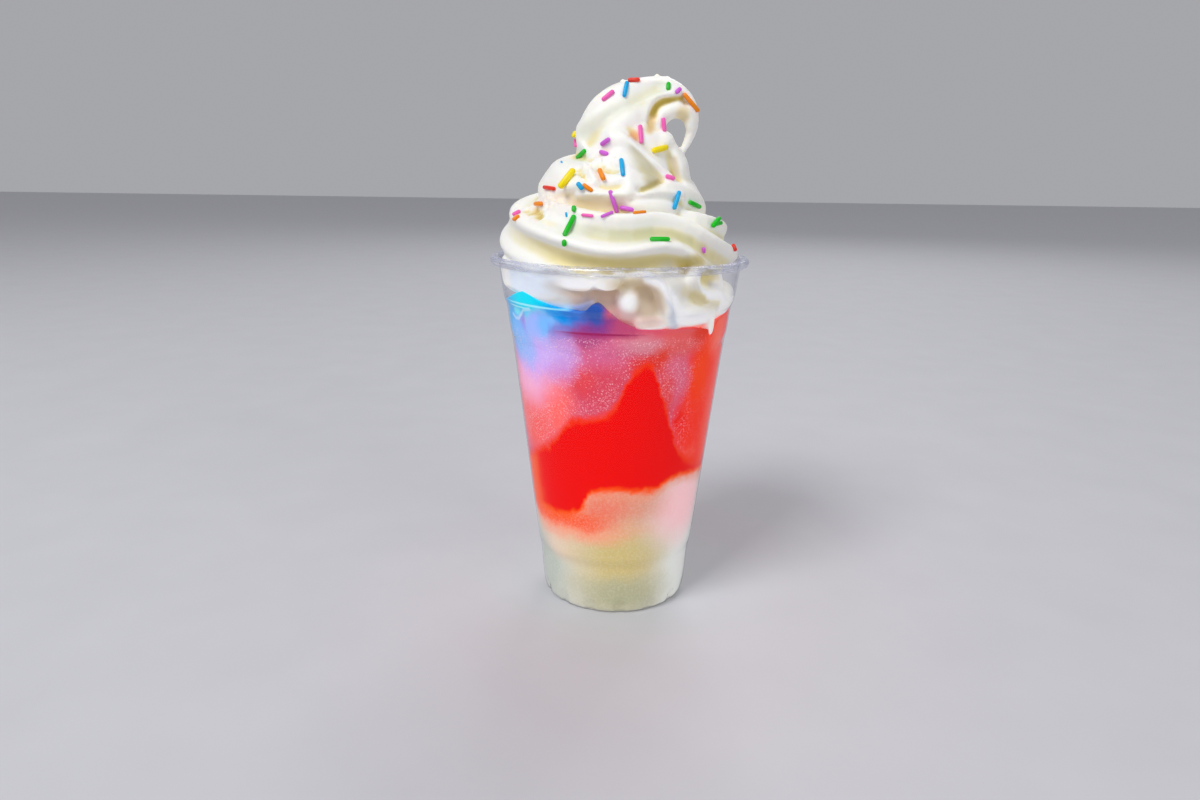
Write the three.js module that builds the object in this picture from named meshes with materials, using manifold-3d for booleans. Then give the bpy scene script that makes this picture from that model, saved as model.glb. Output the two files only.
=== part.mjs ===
// A frozen slush drink: a clear drinks cup with a rolled rim, filled with layered slush and
// topped with a coiled swirl of soft ice cream that carries sugar sprinkles.
//
// Millimetres, +Z up. The origin is the middle of the foot ring, on the surface that the cup
// stands on. -Y is the front.

import * as THREE from "three";
import { mergeVertices } from "three/addons/utils/BufferGeometryUtils.js";
import Module from "manifold-3d";

const wasm = await Module();
wasm.setup();

// Driving dimensions of the cup.
const cupHeight = 136.5;
const rimRadius = 49;
const wallThickness = 0.5;
const curlRadius = 1.7;
const footRadius = 27.6;
const floorHeight = 3.4;
const facets = 45;
const coarseFacets = 20;
const lugCount = 15;
const lugHeight = 4.6;
const lugDepth = 0.8;

// What lies in the cup.
const fitGap = 0.3;
const slushLevel = 112.8;

// The rope of soft ice cream. A star nozzle leaves ridges along it, and they wind round it as
// it coils: angles in degrees up from straight outward, turns counted from the right-hand side.
const ridgeCount = 7;
const ridgeDepth = 0.2;
const sidesPerRidge = 4;
const twistPerTurn = 218;
const ridgeAt = { turn: 0.28, angle: 3 };
const wobble = { turn: 0.18, width: 0.04, angle: 33 };

// A sugar sprinkle, and how many lie on the back.
const sprinkleRadius = 0.8;
const sprinkleSink = 0.3;
const backSprinkles = 26;

// Closed geometry as a solid for cutting and joining.
function solidOf(geometry) {
  geometry.deleteAttribute("normal");
  geometry.deleteAttribute("uv");
  const merged = mergeVertices(geometry, 1e-4);
  const corners = merged.index.array;
  const kept = [];
  for (let i = 0; i < corners.length; i += 3) {
    const [a, b, c] = corners.slice(i, i + 3);
    if (a !== b && b !== c && a !== c) kept.push(a, b, c);
  }
  const vertProperties = merged.attributes.position.array;
  const build = (triVerts) =>
    new wasm.Manifold(new wasm.Mesh({ numProp: 3, vertProperties, triVerts }));
  const made = build(Uint32Array.from(kept));
  return made.volume() > 0 ? made : build(Uint32Array.from(kept).reverse());
}

// A solid as geometry again, without the loose scraps that a cut can leave.
function geometryOf(solid) {
  const bodies = solid.decompose().sort((a, b) => b.volume() - a.volume());
  const mesh = bodies[0].getMesh();
  const geometry = new THREE.BufferGeometry();
  geometry.setAttribute("position", new THREE.BufferAttribute(mesh.vertProperties, 3));
  geometry.setIndex(new THREE.BufferAttribute(mesh.triVerts, 1));
  geometry.computeVertexNormals();
  return geometry;
}

// How far round the first facet starts, so that the rim reaches out nearly alike to all sides.
const startOf = (segments) => Math.PI / (4 * segments);

// A profile of [radius, height] pairs turned round the upright axis.
function turned(profile, segments = facets) {
  const points = profile.map(([radius, height]) => new THREE.Vector2(radius, height));
  return new THREE.LatheGeometry(points, segments).rotateX(Math.PI / 2).rotateZ(startOf(segments));
}

// Moves each vertex of a geometry to where move(vertex) puts it.
function reshape(geometry, move) {
  const position = geometry.attributes.position;
  const vertex = new THREE.Vector3();
  for (let i = 0; i < position.count; i++) {
    move(vertex.fromBufferAttribute(position, i));
    position.setXYZ(i, vertex.x, vertex.y, vertex.z);
  }
  return geometry;
}

// The outside of the cup's wall, from the foot to just under the rolled rim: [radius, height].
// Two stacking steps near the top and one near the foot stand out of the long taper.
const wallOutside = [
  [28.7, 1.0],
  [29.4, 5.2],
  [30.5, 20.8],
  [31.4, 22.6],
  [41.2, 106.9],
  [41.9, 108.6],
  [43.0, 118.6],
  [44.2, 120.8],
  [45.6, 131.8],
];

// The wall's inside radius at a height.
function insideRadius(height) {
  const last = wallOutside.length - 1;
  if (height >= wallOutside[last][1]) return wallOutside[last][0] - wallThickness;
  for (let i = 0; i < last; i++) {
    const [r0, z0] = wallOutside[i];
    const [r1, z1] = wallOutside[i + 1];
    if (height <= z1) return r0 + ((r1 - r0) * (height - z0)) / (z1 - z0) - wallThickness;
  }
}

// A round stretch of profile about a centre, between two angles in degrees.
function arc(radius, height, size, from, to, steps) {
  return Array.from({ length: steps + 1 }, (_, i) => {
    const angle = THREE.MathUtils.degToRad(from + ((to - from) * i) / steps);
    return [radius + size * Math.cos(angle), height + size * Math.sin(angle)];
  });
}

// The clear cup: pushed-up floor, foot ring with stacking lugs, stepped wall, rim curled over.
function cup() {
  const curlCentre = [rimRadius - curlRadius, cupHeight - curlRadius];
  const inner = wallOutside.map(([radius, height]) => [radius - wallThickness, height]);
  inner[0] = [inner[0][0], 1.3];
  const profile = [
    [0, floorHeight],
    [22.6, floorHeight],
    [25.0, 0.6],
    [25.8, 0],
    [footRadius, 0],
    ...wallOutside,
    ...arc(...curlCentre, curlRadius - wallThickness, 180, -60, 3),
    ...arc(...curlCentre, curlRadius, -60, 180, 7),
    ...inner.reverse(),
    [footRadius - 0.3, wallThickness],
    [26.2, wallThickness],
    [25.4, 1.1],
    [23.0, floorHeight + wallThickness],
    [0, floorHeight + wallThickness],
  ];
  // Between the lugs the outside of the foot steps in by the lug's depth.
  const perLug = facets / lugCount;
  return reshape(turned(profile), (vertex) => {
    const radius = Math.hypot(vertex.x, vertex.y);
    const angle = Math.atan2(vertex.y, vertex.x) - startOf(facets);
    const facet = Math.round((angle / (2 * Math.PI)) * facets);
    const between = ((facet % perLug) + perLug) % perLug === 1;
    if (!between || vertex.z > lugHeight - 0.1 || radius < footRadius - 0.01) return;
    vertex.x *= (radius - lugDepth) / radius;
    vertex.y *= (radius - lugDepth) / radius;
  });
}

// Heights of the slush's own surfaces on the wall: [angle from the front in degrees to the
// right, height]. Each fades to a calm level towards the middle.
const topRows = [
  [-180, 116], [-120, 119], [-75, 120.5], [-50, 125.6], [-30, 121.6], [-12, 123.4], [3, 117.2],
  [20, 114.8], [47, 113.6], [60, 116], [90, 119], [150, 114], [180, 116],
];
const whiteRows = [
  [-180, 57], [-150, 62], [-120, 56], [-90, 48], [-70, 42], [-40, 42.2], [-23, 46], [-15, 53.3],
  [0, 55], [20, 54.8], [36, 58.8], [58, 57.3], [75, 55], [120, 50], [150, 50], [180, 57],
];
const redRows = [
  [-180, 105], [-150, 84], [-120, 75], [-90, 58], [-62, 62], [-42, 69.5], [-25, 79.6], [-5, 84],
  [8, 98.5], [18, 102], [24, 89], [34, 73], [54, 61.5], [68, 59], [90, 66], [140, 96], [180, 105],
];
const pinkRows = [
  [-180, 108], [-75, 104], [-45, 108], [-20, 116], [-8, 119], [2, 132], [90, 132], [120, 112],
  [180, 108],
];

// The height in rows at an angle round the cup, in degrees from the right-hand side.
function heightRound(rows, angle) {
  const fromFront = ((angle + 270) % 360) - 180;
  const next = rows.findIndex(([turn]) => turn >= fromFront);
  const [a0, h0] = rows[Math.max(next - 1, 0)];
  const [a1, h1] = rows[Math.max(next, 1)];
  return h0 + ((h1 - h0) * (fromFront - a0)) / (a1 - a0);
}

// A surface that is calm in the middle and meets the wall at the rows' heights.
function surface(rows, calm, from, to) {
  return (angle, radius) => {
    const share = THREE.MathUtils.smoothstep(radius, from, to);
    return calm + (heightRound(rows, angle) - calm) * share;
  };
}

const topOfSlush = surface(topRows, slushLevel, 18, 38);
const topOfWhite = surface(whiteRows, 54, 6, 30);
const topOfRed = surface(redRows, 85, 10, 34);
const topOfPink = surface(pinkRows, 132, 10, 30);

// The solid below one of those surfaces, wider than the cup.
function below(heightAt, lift = 0) {
  const rings = [60, 41, 32, 22, 0];
  const profile = [[0, -10], [60, -10], ...rings.map((radius) => [radius, 0])];
  const slab = reshape(turned(profile, coarseFacets), (vertex) => {
    if (vertex.z < -1) return;
    const angle = THREE.MathUtils.radToDeg(Math.atan2(vertex.y, vertex.x)) + 360;
    vertex.z = heightAt(angle, Math.hypot(vertex.x, vertex.y)) + lift;
  });
  return solidOf(slab);
}

// The inside of the cup, less the fit gap, up to a height. Past the rim it widens.
function cavity(top, segments) {
  const inside = wallOutside
    .filter(([, height]) => height > 2 && height < top)
    .map(([radius, height]) => [radius - wallThickness - fitGap, height]);
  const wide = top > cupHeight ? rimRadius + 10 : insideRadius(top) - fitGap;
  const mouth = top > cupHeight ? [[inside.at(-1)[0], cupHeight + 2], [wide, cupHeight + 4]] : [];
  const profile = [
    [0, floorHeight + wallThickness + fitGap],
    [23.2, floorHeight + wallThickness + fitGap],
    [25.5, 1.6],
    [27.4, 1.6],
    ...inside,
    ...mouth,
    [wide, top],
    [0, top],
  ];
  return solidOf(turned(profile, segments));
}

// The four layers of slush, from the floor up. Each is cut off at its neighbour's surface.
function slushLayers() {
  const filled = cavity(cupHeight - 5, coarseFacets).intersect(below(topOfSlush));
  const heights = [topOfWhite, topOfRed, topOfPink];
  const under = heights.map((heightAt) => below(heightAt));
  const over = heights.map((heightAt) => below(heightAt, fitGap));
  return {
    slush_white: filled.intersect(under[0]),
    slush_red: filled.intersect(under[1]).subtract(over[0]),
    slush_pink: filled.intersect(under[2]).subtract(over[1]).subtract(over[0]),
    slush_blue: filled.subtract(over[2]).subtract(over[1]),
  };
}

// The coiled rope rises clockwise, seen from above. Each row is the turn, counted from the
// right-hand side, the coil's radius, its height and the rope's own radius.
const coilRows = [
  [-1.1, 27, 121.5, 9],
  [-0.75, 25, 125, 11],
  [-0.5, 24, 128.5, 12],
  [-0.25, 28.5, 132.5, 13.8],
  [0, 29.5, 137.5, 15.2],
  [0.25, 29.6, 140.5, 15.6],
  [0.5, 29.7, 143.3, 15.8],
  [0.75, 26.5, 148.5, 14.8],
  [1, 18.5, 153.5, 13.6],
  [1.25, 18, 156.5, 13],
  [1.5, 18, 159.5, 13],
  [1.75, 14, 164, 13],
  [2, 11.5, 168.3, 12.6],
  [2.25, 7.5, 173, 13],
  [2.5, 4.2, 178.6, 13.8],
];

// The tip leans to the right and hooks over, and its thin tail comes down on the coil:
// [x, y, height, rope radius].
const hookRows = [
  [-0.5, -1, 185.6, 13.4],
  [7, -3, 190.8, 10.2],
  [15.6, -4, 193.7, 7.6],
  [22.4, -4, 190.2, 4.8],
  [25.4, -4, 184.6, 2.7],
  [24.4, -4, 179, 1.9],
  [22, -4, 174, 1.3],
];

const smooth = (points) => new THREE.CatmullRomCurve3(points, false, "catmullrom", 0.5);

// A smooth run through rows of [x, y, z, radius], with a station at each mark. A mark counts
// rows, so 2.5 is half way from the third row to the fourth.
function runThrough(rows, marks) {
  const line = smooth(rows.map(([x, y, z]) => new THREE.Vector3(x, y, z)));
  const sizes = smooth(rows.map((row) => new THREE.Vector3(row[3], 0, 0)));
  return marks.map((mark) => {
    const t = mark / (rows.length - 1);
    return { point: line.getPoint(t), along: line.getTangent(t), size: sizes.getPoint(t).x, roll: 0 };
  });
}

// Every half row from one mark to another.
const halves = (from, to) => Array.from({ length: 2 * (to - from) + 1 }, (_, i) => from + i / 2);

// Gives each station an outward direction square to the run: away from the axis where the
// coil is wide, and from there on turning as little as the run allows.
function faceOutward(stations, coilSteps) {
  const outward = new THREE.Vector3();
  stations.forEach((station, i) => {
    if (i <= coilSteps) outward.copy(station.point).setZ(0);
    outward.addScaledVector(station.along, -outward.dot(station.along)).normalize();
    station.outward = outward.clone();
  });
  return stations;
}

// A tube over stations first to last: a unit cylinder bent along the run. shareAt(side) gives
// the radius on a side as a share of the station's own.
function tube(stations, first, last, sides, shareAt) {
  const steps = last - first;
  const unit = new THREE.CylinderGeometry(1, 1, steps, sides, steps);
  return solidOf(reshape(unit, (vertex) => {
    const station = stations[first + Math.round(vertex.y + steps / 2)];
    const angle = Math.atan2(vertex.z, vertex.x);
    const side = Math.round((angle / (2 * Math.PI)) * sides);
    const reach = Math.hypot(vertex.x, vertex.z) * station.size * shareAt(side);
    const up = new THREE.Vector3().crossVectors(station.along, station.outward);
    vertex.copy(station.point)
      .addScaledVector(station.outward, reach * Math.cos(angle + station.roll))
      .addScaledVector(up, reach * Math.sin(angle + station.roll));
  }));
}

// Round ridges with narrower valleys between them; the sides run along with the ridges.
function ridgeShare(side) {
  const across = Math.cos((side / sidesPerRidge) * 2 * Math.PI);
  return 1 - ridgeDepth * (0.5 - 0.5 * across) ** 1.4;
}

// The coil and its hook as one run, its ridges turned as the nozzle left them.
function ropeStations(stepsPerTurn) {
  const [firstTurn, lastTurn] = [coilRows[0][0], coilRows.at(-1)[0]];
  const steps = Math.round((lastTurn - firstTurn) * stepsPerTurn);
  const curve = smooth(coilRows.map(([, ...rest]) => new THREE.Vector3(...rest)));
  const turns = smooth(coilRows.map(([turn]) => new THREE.Vector3(turn, 0, 0)));
  const whole = Array.from({ length: steps + 1 }, (_, i) => i);
  const rows = whole.map((i) => {
    const { x: radius, y: height, z: size } = curve.getPoint(i / steps);
    const turn = turns.getPoint(i / steps).x;
    const angle = -2 * Math.PI * turn;
    return [radius * Math.cos(angle), radius * Math.sin(angle), height, size, turn];
  });
  const marks = [...whole, ...halves(steps, steps + hookRows.length).slice(1)];
  const stations = runThrough([...rows, ...hookRows], marks);
  stations.forEach((station, i) => {
    const turn = rows[Math.min(i, steps)][4];
    const sway = wobble.angle * Math.exp(-0.5 * ((turn - wobble.turn) / wobble.width) ** 2);
    const angle = ridgeAt.angle + twistPerTurn * (turn - ridgeAt.turn) + sway;
    station.roll = THREE.MathUtils.degToRad(angle);
  });
  return faceOutward(stations, steps);
}

// Folds where the ice cream was first laid down against the cup's wall: [angle from the front
// in degrees to the right, height, distance in from the wall, radius]. They have round ends.
const foldsInCup = [
  [[-28, 123, 14, 8.5], [4, 121.5, 12.5, 8.5], [32, 120.5, 11, 8.5], [60, 120.5, 9.5, 8.5]],
  [[-72, 131.4, 6.6, 8.2], [-50, 129.9, 7.4, 8.4], [-34, 128, 7.8, 8.4], [-23, 127.4, 7.6, 7.2]],
  [[-34, 133.2, 3, 3.2], [-24, 131.8, 2, 3.4], [-15, 131, 1.8, 3.3]],
  [[-9, 131.6, 2.2, 3], [-1, 131.8, 2.2, 3]],
  [[2, 131.2, 4.4, 2.2], [12, 132.4, 2.7, 2.6], [20, 127, 2.2, 2.8], [26, 117.5, 2.4, 2.8]],
  [[37.5, 133, 2.6, 2.7], [47, 127, 2.2, 3.1], [61, 123.6, 3, 3.2]],
  [[54, 121.6, 5.4, 4.4], [70, 121.2, 4, 4.4]],
  [[31, 118.1, 3.2, 3.7], [46.5, 118.1, 3.2, 3.7]],
  [[11.5, 116.8, 2.4, 2.7], [20.5, 116.6, 2.4, 2.7]],
];

// The lump and the arch under the hooked tip, the breast of the peak and the slope under it:
// [x, y, height, radius].
const foldsAbove = [
  [[18, -4, 163, 8], [15.6, -6, 169.5, 8.6], [14.2, -8.6, 176.6, 5.2]],
  [[11.8, -7, 183, 4], [15.4, -7, 187.7, 3.4], [19.5, -7, 188.7, 3.1], [25, -5, 182.5, 2]],
  [[-6, -6, 181, 9.5], [1, -8.3, 186.5, 7.6]],
  [[0, -15.5, 168, 8], [11, -12.5, 165.8, 7]],
];

// Turns rows of a fold in the cup into [x, y, height, radius].
const againstWall = (rows) => rows.map(([angle, height, inset, size]) => {
  const reach = insideRadius(height) - inset;
  const turn = THREE.MathUtils.degToRad(angle);
  return [reach * Math.sin(turn), -reach * Math.cos(turn), height, size];
});

function fold(rows) {
  const marks = rows.length > 2 ? halves(0, rows.length - 1) : [0, 1];
  const stations = faceOutward(runThrough(rows, marks), 0);
  // Round ends: two more stations past each end, shrinking to a point.
  const cap = (station, sign) => [0.55, 0.95].map((reach) => ({
    ...station,
    point: station.point.clone().addScaledVector(station.along, sign * reach * station.size),
    size: station.size * Math.sqrt(1 - reach * reach),
  }));
  const whole = [...cap(stations[0], -1).reverse(), ...stations, ...cap(stations.at(-1), 1)];
  return tube(whole, 0, whole.length - 1, 8, () => 1);
}

// What the coil closes in: [radius, height] of a plain core.
const coreProfile = [
  [0, 110], [27, 110], [27, 128], [22, 148], [14, 158], [9, 172], [5, 180], [0, 180],
];

function swirlOfIceCream() {
  const stations = ropeStations(13);
  let made = solidOf(turned(coreProfile, 20));
  const perPiece = 7;
  const last = stations.length - 1;
  for (let first = 0; first < last; first += perPiece) {
    const end = Math.min(first + perPiece, last);
    made = made.add(tube(stations, first, end, ridgeCount * sidesPerRidge, ridgeShare));
  }
  for (const rows of [...foldsAbove, ...foldsInCup.map(againstWall)]) made = made.add(fold(rows));
  return made.intersect(cavity(cupHeight + 80, facets)).subtract(below(topOfSlush, fitGap));
}

// The sprinkles on the front: [angle round the swirl, height, lean from level, length,
// thickness as a share of the usual].
const frontSprinkles = [
  [-140, 195, 79, 6, 1], [-89, 168, -61, 7.5, 1], [-116, 162, -49, 3.2, 1.1],
  [-50.5, 157, 62, 7, 1], [-64.5, 196, -89, 3.2, 1], [-150, 173, 18, 8, 1],
  [-30, 156, -14, 8.5, 1], [-25.5, 150, 31, 6, 1.1], [-23, 149.5, 4, 5, 1],
  [-114.5, 154.4, -71, 2.4, 1], [-114.5, 148.6, 85, 8.8, 1.1], [-114, 143.8, 88, 2.4, 1],
  [-72, 145, 8, 6.8, 1], [-150, 192.6, 49, 5.5, 1], [-57, 183.3, -83, 5, 1],
  [-86.5, 179.5, -86, 7.4, 1], [-172, 177, -60, 3.4, 0.8], [-48, 165, -22, 3.6, 1],
  [-106.5, 152.6, -3, 4.4, 0.7], [-153, 152, 69, 3.4, 0.9], [-51.5, 194.7, 34, 3.2, 1],
  [-118, 177, 24, 4.8, 1], [-113.5, 173, -18, 4.2, 1], [-94.5, 157.3, -71, 8.2, 1],
  [-85.5, 154.8, -10, 5, 1], [-96.5, 153, 26, 4.6, 0.7], [-44, 141, -75, 2.2, 0.8],
  [-28.5, 191, -43, 8.8, 1], [-104.5, 165.7, -66, 6, 1.1], [-111.5, 161.4, -33, 4.2, 0.9],
  [-80, 153.6, 20, 5, 0.7], [-155, 154.5, 19, 6.2, 1], [-148, 150.6, 50, 3, 0.9],
  [-55.5, 174.6, 12, 7.4, 1.3], [-172, 180, -20, 4.4, 1], [-128, 164, 76, 8.5, 1.5],
  [-136, 198, 3, 4.4, 1], [-146.5, 161, -3, 7.5, 0.9], [-23, 141, -70, 3, 0.9],
];

// The swirl's middle line leans to the right with the peak.
const middleOf = (height) => 12 * THREE.MathUtils.smoothstep(height, 165, 195);

// A repeatable draw between two values.
let drawn = 20;
function draw(low, high) {
  drawn = (drawn * 16807) % 2147483647;
  return low + ((high - low) * drawn) / 2147483647;
}

// Sprinkles half sunk in the surface, found by looking in at the swirl from outside.
function withSprinkles(ice) {
  const mesh = new THREE.Mesh(geometryOf(ice));
  const back = Array.from({ length: backSprinkles }, (_, i) => [
    22 + (136 * ((i * 0.618) % 1)),
    144 + (52 * (i + 0.5)) / backSprinkles,
    draw(-90, 90),
    draw(4.5, 7.5),
    1,
  ]);
  let made = ice;
  for (const [angle, height, lean, length, share] of [...frontSprinkles, ...back]) {
    const inward = new THREE.Vector3(-1, 0, 0)
      .applyAxisAngle(new THREE.Vector3(0, 0, 1), THREE.MathUtils.degToRad(angle));
    const from = new THREE.Vector3(middleOf(height), 0, height).addScaledVector(inward, -80);
    const hit = new THREE.Raycaster(from, inward).intersectObject(mesh)[0];
    if (!hit) continue;
    const out = hit.face.normal;
    const level = new THREE.Vector3(0, 0, 1).cross(out).normalize();
    const along = level.applyAxisAngle(out, THREE.MathUtils.degToRad(lean));
    const radius = sprinkleRadius * share;
    const middle = hit.point.clone().addScaledVector(out, radius - sprinkleSink);
    const grain = new THREE.CapsuleGeometry(radius, length - 2 * radius, 1, 5)
      .applyQuaternion(new THREE.Quaternion().setFromUnitVectors(new THREE.Vector3(0, 1, 0), along))
      .translate(middle.x, middle.y, middle.z);
    made = made.add(solidOf(grain));
  }
  return made.intersect(cavity(cupHeight + 80, facets));
}

const looks = {
  cup: { color: 0xe6ebf2, roughness: 0.08, transparent: true, opacity: 0.3 },
  slush_white: { color: 0xe9e4c6, roughness: 0.35 },
  slush_red: { color: 0xf01208, roughness: 0.3 },
  slush_pink: { color: 0xe0809a, roughness: 0.35 },
  slush_blue: { color: 0x18a8ee, roughness: 0.25 },
  soft_serve: { color: 0xfaf4e2, roughness: 0.45 },
};

const drink = new THREE.Group();

function place(name, geometry) {
  const look = new THREE.MeshStandardMaterial({ metalness: 0, ...looks[name] });
  const mesh = new THREE.Mesh(geometry, look);
  mesh.name = name;
  drink.add(mesh);
}

place("cup", cup());
for (const [name, solid] of Object.entries(slushLayers())) place(name, geometryOf(solid));
place("soft_serve", geometryOf(withSprinkles(swirlOfIceCream())));

export default drink;
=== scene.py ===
import math

import bmesh
import bpy
import numpy as np
from mathutils import Matrix, Vector, noise
from mathutils.bvhtree import BVHTree


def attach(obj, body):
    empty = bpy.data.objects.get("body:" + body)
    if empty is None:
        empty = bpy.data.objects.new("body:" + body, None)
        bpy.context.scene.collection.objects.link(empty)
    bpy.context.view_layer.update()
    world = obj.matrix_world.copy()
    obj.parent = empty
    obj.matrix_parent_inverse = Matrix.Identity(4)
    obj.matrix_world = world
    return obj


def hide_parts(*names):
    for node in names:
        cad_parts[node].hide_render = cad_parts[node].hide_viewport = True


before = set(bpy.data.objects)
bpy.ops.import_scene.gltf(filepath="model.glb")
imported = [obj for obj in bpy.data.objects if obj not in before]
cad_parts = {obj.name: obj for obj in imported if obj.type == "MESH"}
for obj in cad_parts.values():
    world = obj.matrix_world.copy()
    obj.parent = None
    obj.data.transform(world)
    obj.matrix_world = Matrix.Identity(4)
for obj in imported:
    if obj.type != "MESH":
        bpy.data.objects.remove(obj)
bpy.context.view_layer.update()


# The cup
# One thin shell of clear plastic, drawn from a warm sheet: a pushed-up floor on a foot ring,
# a tapering wall with stacking steps and small lugs round the foot, and a rim rolled outwards.

# Sizes are in millimetres, and MM turns them into metres.
MM = 0.001
CUP_HEIGHT = 136.5
RIM_RADIUS = 48.93
WALL = 0.5
CURL = 1.7
FOOT_RADIUS = 27.6
FLOOR_HEIGHT = 3.4
# Small lugs round the foot: how many, where one of the gaps between them is, in degrees to the
# right of the front, how high they reach, the height over which they fade out, and how deep the
# gaps are.
LUGS = 15
LUG_GAP_ANGLE = -67
LUG_HEIGHT = 4.6
LUG_FADE = 0.5
LUG_DEPTH = 0.8
STEPS_ROUND = 180
# The outside of the wall, from the foot to just under the rolled rim: [radius, height].
WALL_OUTSIDE = (
    (28.7, 1.0),
    (29.4, 5.2),
    (30.5, 20.8),
    (31.4, 22.6),
    (41.2, 106.9),
    (41.9, 108.6),
    (43.0, 118.6),
    (44.2, 120.8),
    (45.6, 131.8),
)


def arc(radius, height, size, start, end, steps):
    """A round stretch of profile about a centre, between two angles in degrees."""
    angles = (math.radians(start + (end - start) * i / steps) for i in range(steps + 1))
    return [(radius + size * math.cos(a), height + size * math.sin(a)) for a in angles]


def rounded(points, times=2):
    """Cuts each corner of a profile off at a quarter of its sides; the ends stay."""
    for _ in range(times):
        cut = [points[0]]
        for (r0, z0), (r1, z1) in zip(points, points[1:]):
            cut.append((0.75 * r0 + 0.25 * r1, 0.75 * z0 + 0.25 * z1))
            cut.append((0.25 * r0 + 0.75 * r1, 0.25 * z0 + 0.75 * z1))
        points = cut + [points[-1]]
    return points


def spun(profile, steps=STEPS_ROUND):
    """A closed skin turned round the upright axis from a profile that starts and ends on it."""
    skin = bmesh.new()
    line = [skin.verts.new((radius * MM, 0, height * MM)) for radius, height in profile]
    edges = [skin.edges.new(pair) for pair in zip(line, line[1:])]
    bmesh.ops.spin(
        skin, geom=line + edges, cent=(0, 0, 0), axis=(0, 0, 1),
        angle=2 * math.pi, steps=steps, use_merge=True,
    )
    bmesh.ops.remove_doubles(skin, verts=skin.verts, dist=MM / 1000)
    bmesh.ops.recalc_face_normals(skin, faces=skin.faces)
    return skin


def finished(mesh, name, material, slot, *nodes):
    """Makes a piece of a mesh: smooth, in its finish, riding on the drink."""
    if isinstance(mesh, bmesh.types.BMesh):
        data = bpy.data.meshes.new(name)
        mesh.to_mesh(data)
        mesh.free()
    else:
        data = mesh
    data.shade_smooth()
    data.materials.append(material)
    piece = bpy.data.objects.new(name, data)
    bpy.context.scene.collection.objects.link(piece)
    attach(piece, "root")
    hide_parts(*nodes)
    return piece


def paint(red, green, blue):
    """A colour as it looks on a screen, 0 to 255, turned into light."""
    parts = (red / 255, green / 255, blue / 255)
    return tuple(p / 12.92 if p < 0.04 else ((p + 0.055) / 1.055) ** 2.4 for p in parts) + (1,)


class Wire:
    """An output socket in a material. Sums and products of wires add their Math nodes."""

    def __init__(self, tree, socket=None):
        self.tree = tree
        self.socket = socket

    def node(self, kind, settings=None, sockets=None, output=0):
        """Adds a node: first its settings, then its sockets' values or wires."""
        added = self.tree.nodes.new("ShaderNode" + kind)
        for name, value in (settings or {}).items():
            if name == "stops":
                stops = added.color_ramp.elements
                while len(stops) < len(value):
                    stops.new(1)
                for stop, (place, colour) in zip(stops, value):
                    stop.position = place
                    stop.color = colour
            elif name == "blending":
                added.color_ramp.interpolation = value
            else:
                setattr(added, name, value)
        for key, value in (sockets or {}).items():
            if isinstance(value, Wire):
                self.tree.links.new(value.socket, added.inputs[key])
            else:
                added.inputs[key].default_value = value
        return Wire(self.tree, added.outputs[output] if added.outputs else None)

    def part(self, index):
        """One coordinate of a place: 0 for x, 1 for y, 2 for z."""
        return self.node("SeparateXYZ", None, {0: self}, index)

    def math(self, operation, *values):
        return self.node("Math", {"operation": operation}, dict(enumerate((self, *values))))

    def __add__(self, other):
        return self.math("ADD", other)

    def __mul__(self, other):
        return self.math("MULTIPLY", other)

    def __sub__(self, other):
        return self.math("SUBTRACT", other)

    def __rsub__(self, other):
        return self * -1 + other

    def __pow__(self, other):
        return self.math("POWER", other)

    __radd__ = __add__
    __rmul__ = __mul__

    def vector(self, operation, other=None, output=0):
        """Vector Math; output 1 is the one that gives a number."""
        sockets = {0: self} if other is None else {0: self, 1: other}
        return self.node("VectorMath", {"operation": operation}, sockets, output)

    def step(self, low, high):
        """Goes smoothly from 0 at low to 1 at high."""
        sockets = {"Value": self, "From Min": low, "From Max": high}
        return self.node("MapRange", {"interpolation_type": "SMOOTHSTEP"}, sockets)

    def over(self, below, above):
        """This share of one colour over another."""
        return self.node("Mix", {"data_type": "RGBA"}, {0: self, 6: below, 7: above}, 2)

    def beside(self, other):
        """This number and another, as one place."""
        return self.node("CombineXYZ", None, {0: self, 1: other})

    def bump(self, strength, depth):
        """Small bumps from this height, whose full depth is given in millimetres."""
        sockets = {"Strength": strength, "Distance": depth * MM, "Height": self}
        return self.node("Bump", None, sockets)

    def noise(self, size, detail=2.0, roughness=0.5, colour=False):
        """Cloudy noise whose lumps are about size millimetres across."""
        sockets = {"Vector": self, "Scale": 1 / (size * MM), "Detail": detail, "Roughness": roughness}
        return self.node("TexNoise", None, sockets, 1 if colour else 0)


def new_material(name):
    """An empty material, and the place on the piece, which its nodes start from."""
    material = bpy.data.materials.new(name)
    material.use_nodes = True
    material.node_tree.nodes.clear()
    return material, Wire(material.node_tree).node("TexCoord", None, None, 3)


def coated(material, shader):
    """Gives a material its shader."""
    shader.node("OutputMaterial", None, {"Surface": shader})
    return material


def angle_of(place):
    """The angle from the front, in degrees to the right."""
    return place.part(0).math("ARCTAN2", place.part(1) * -1) * (180 / math.pi)


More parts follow.
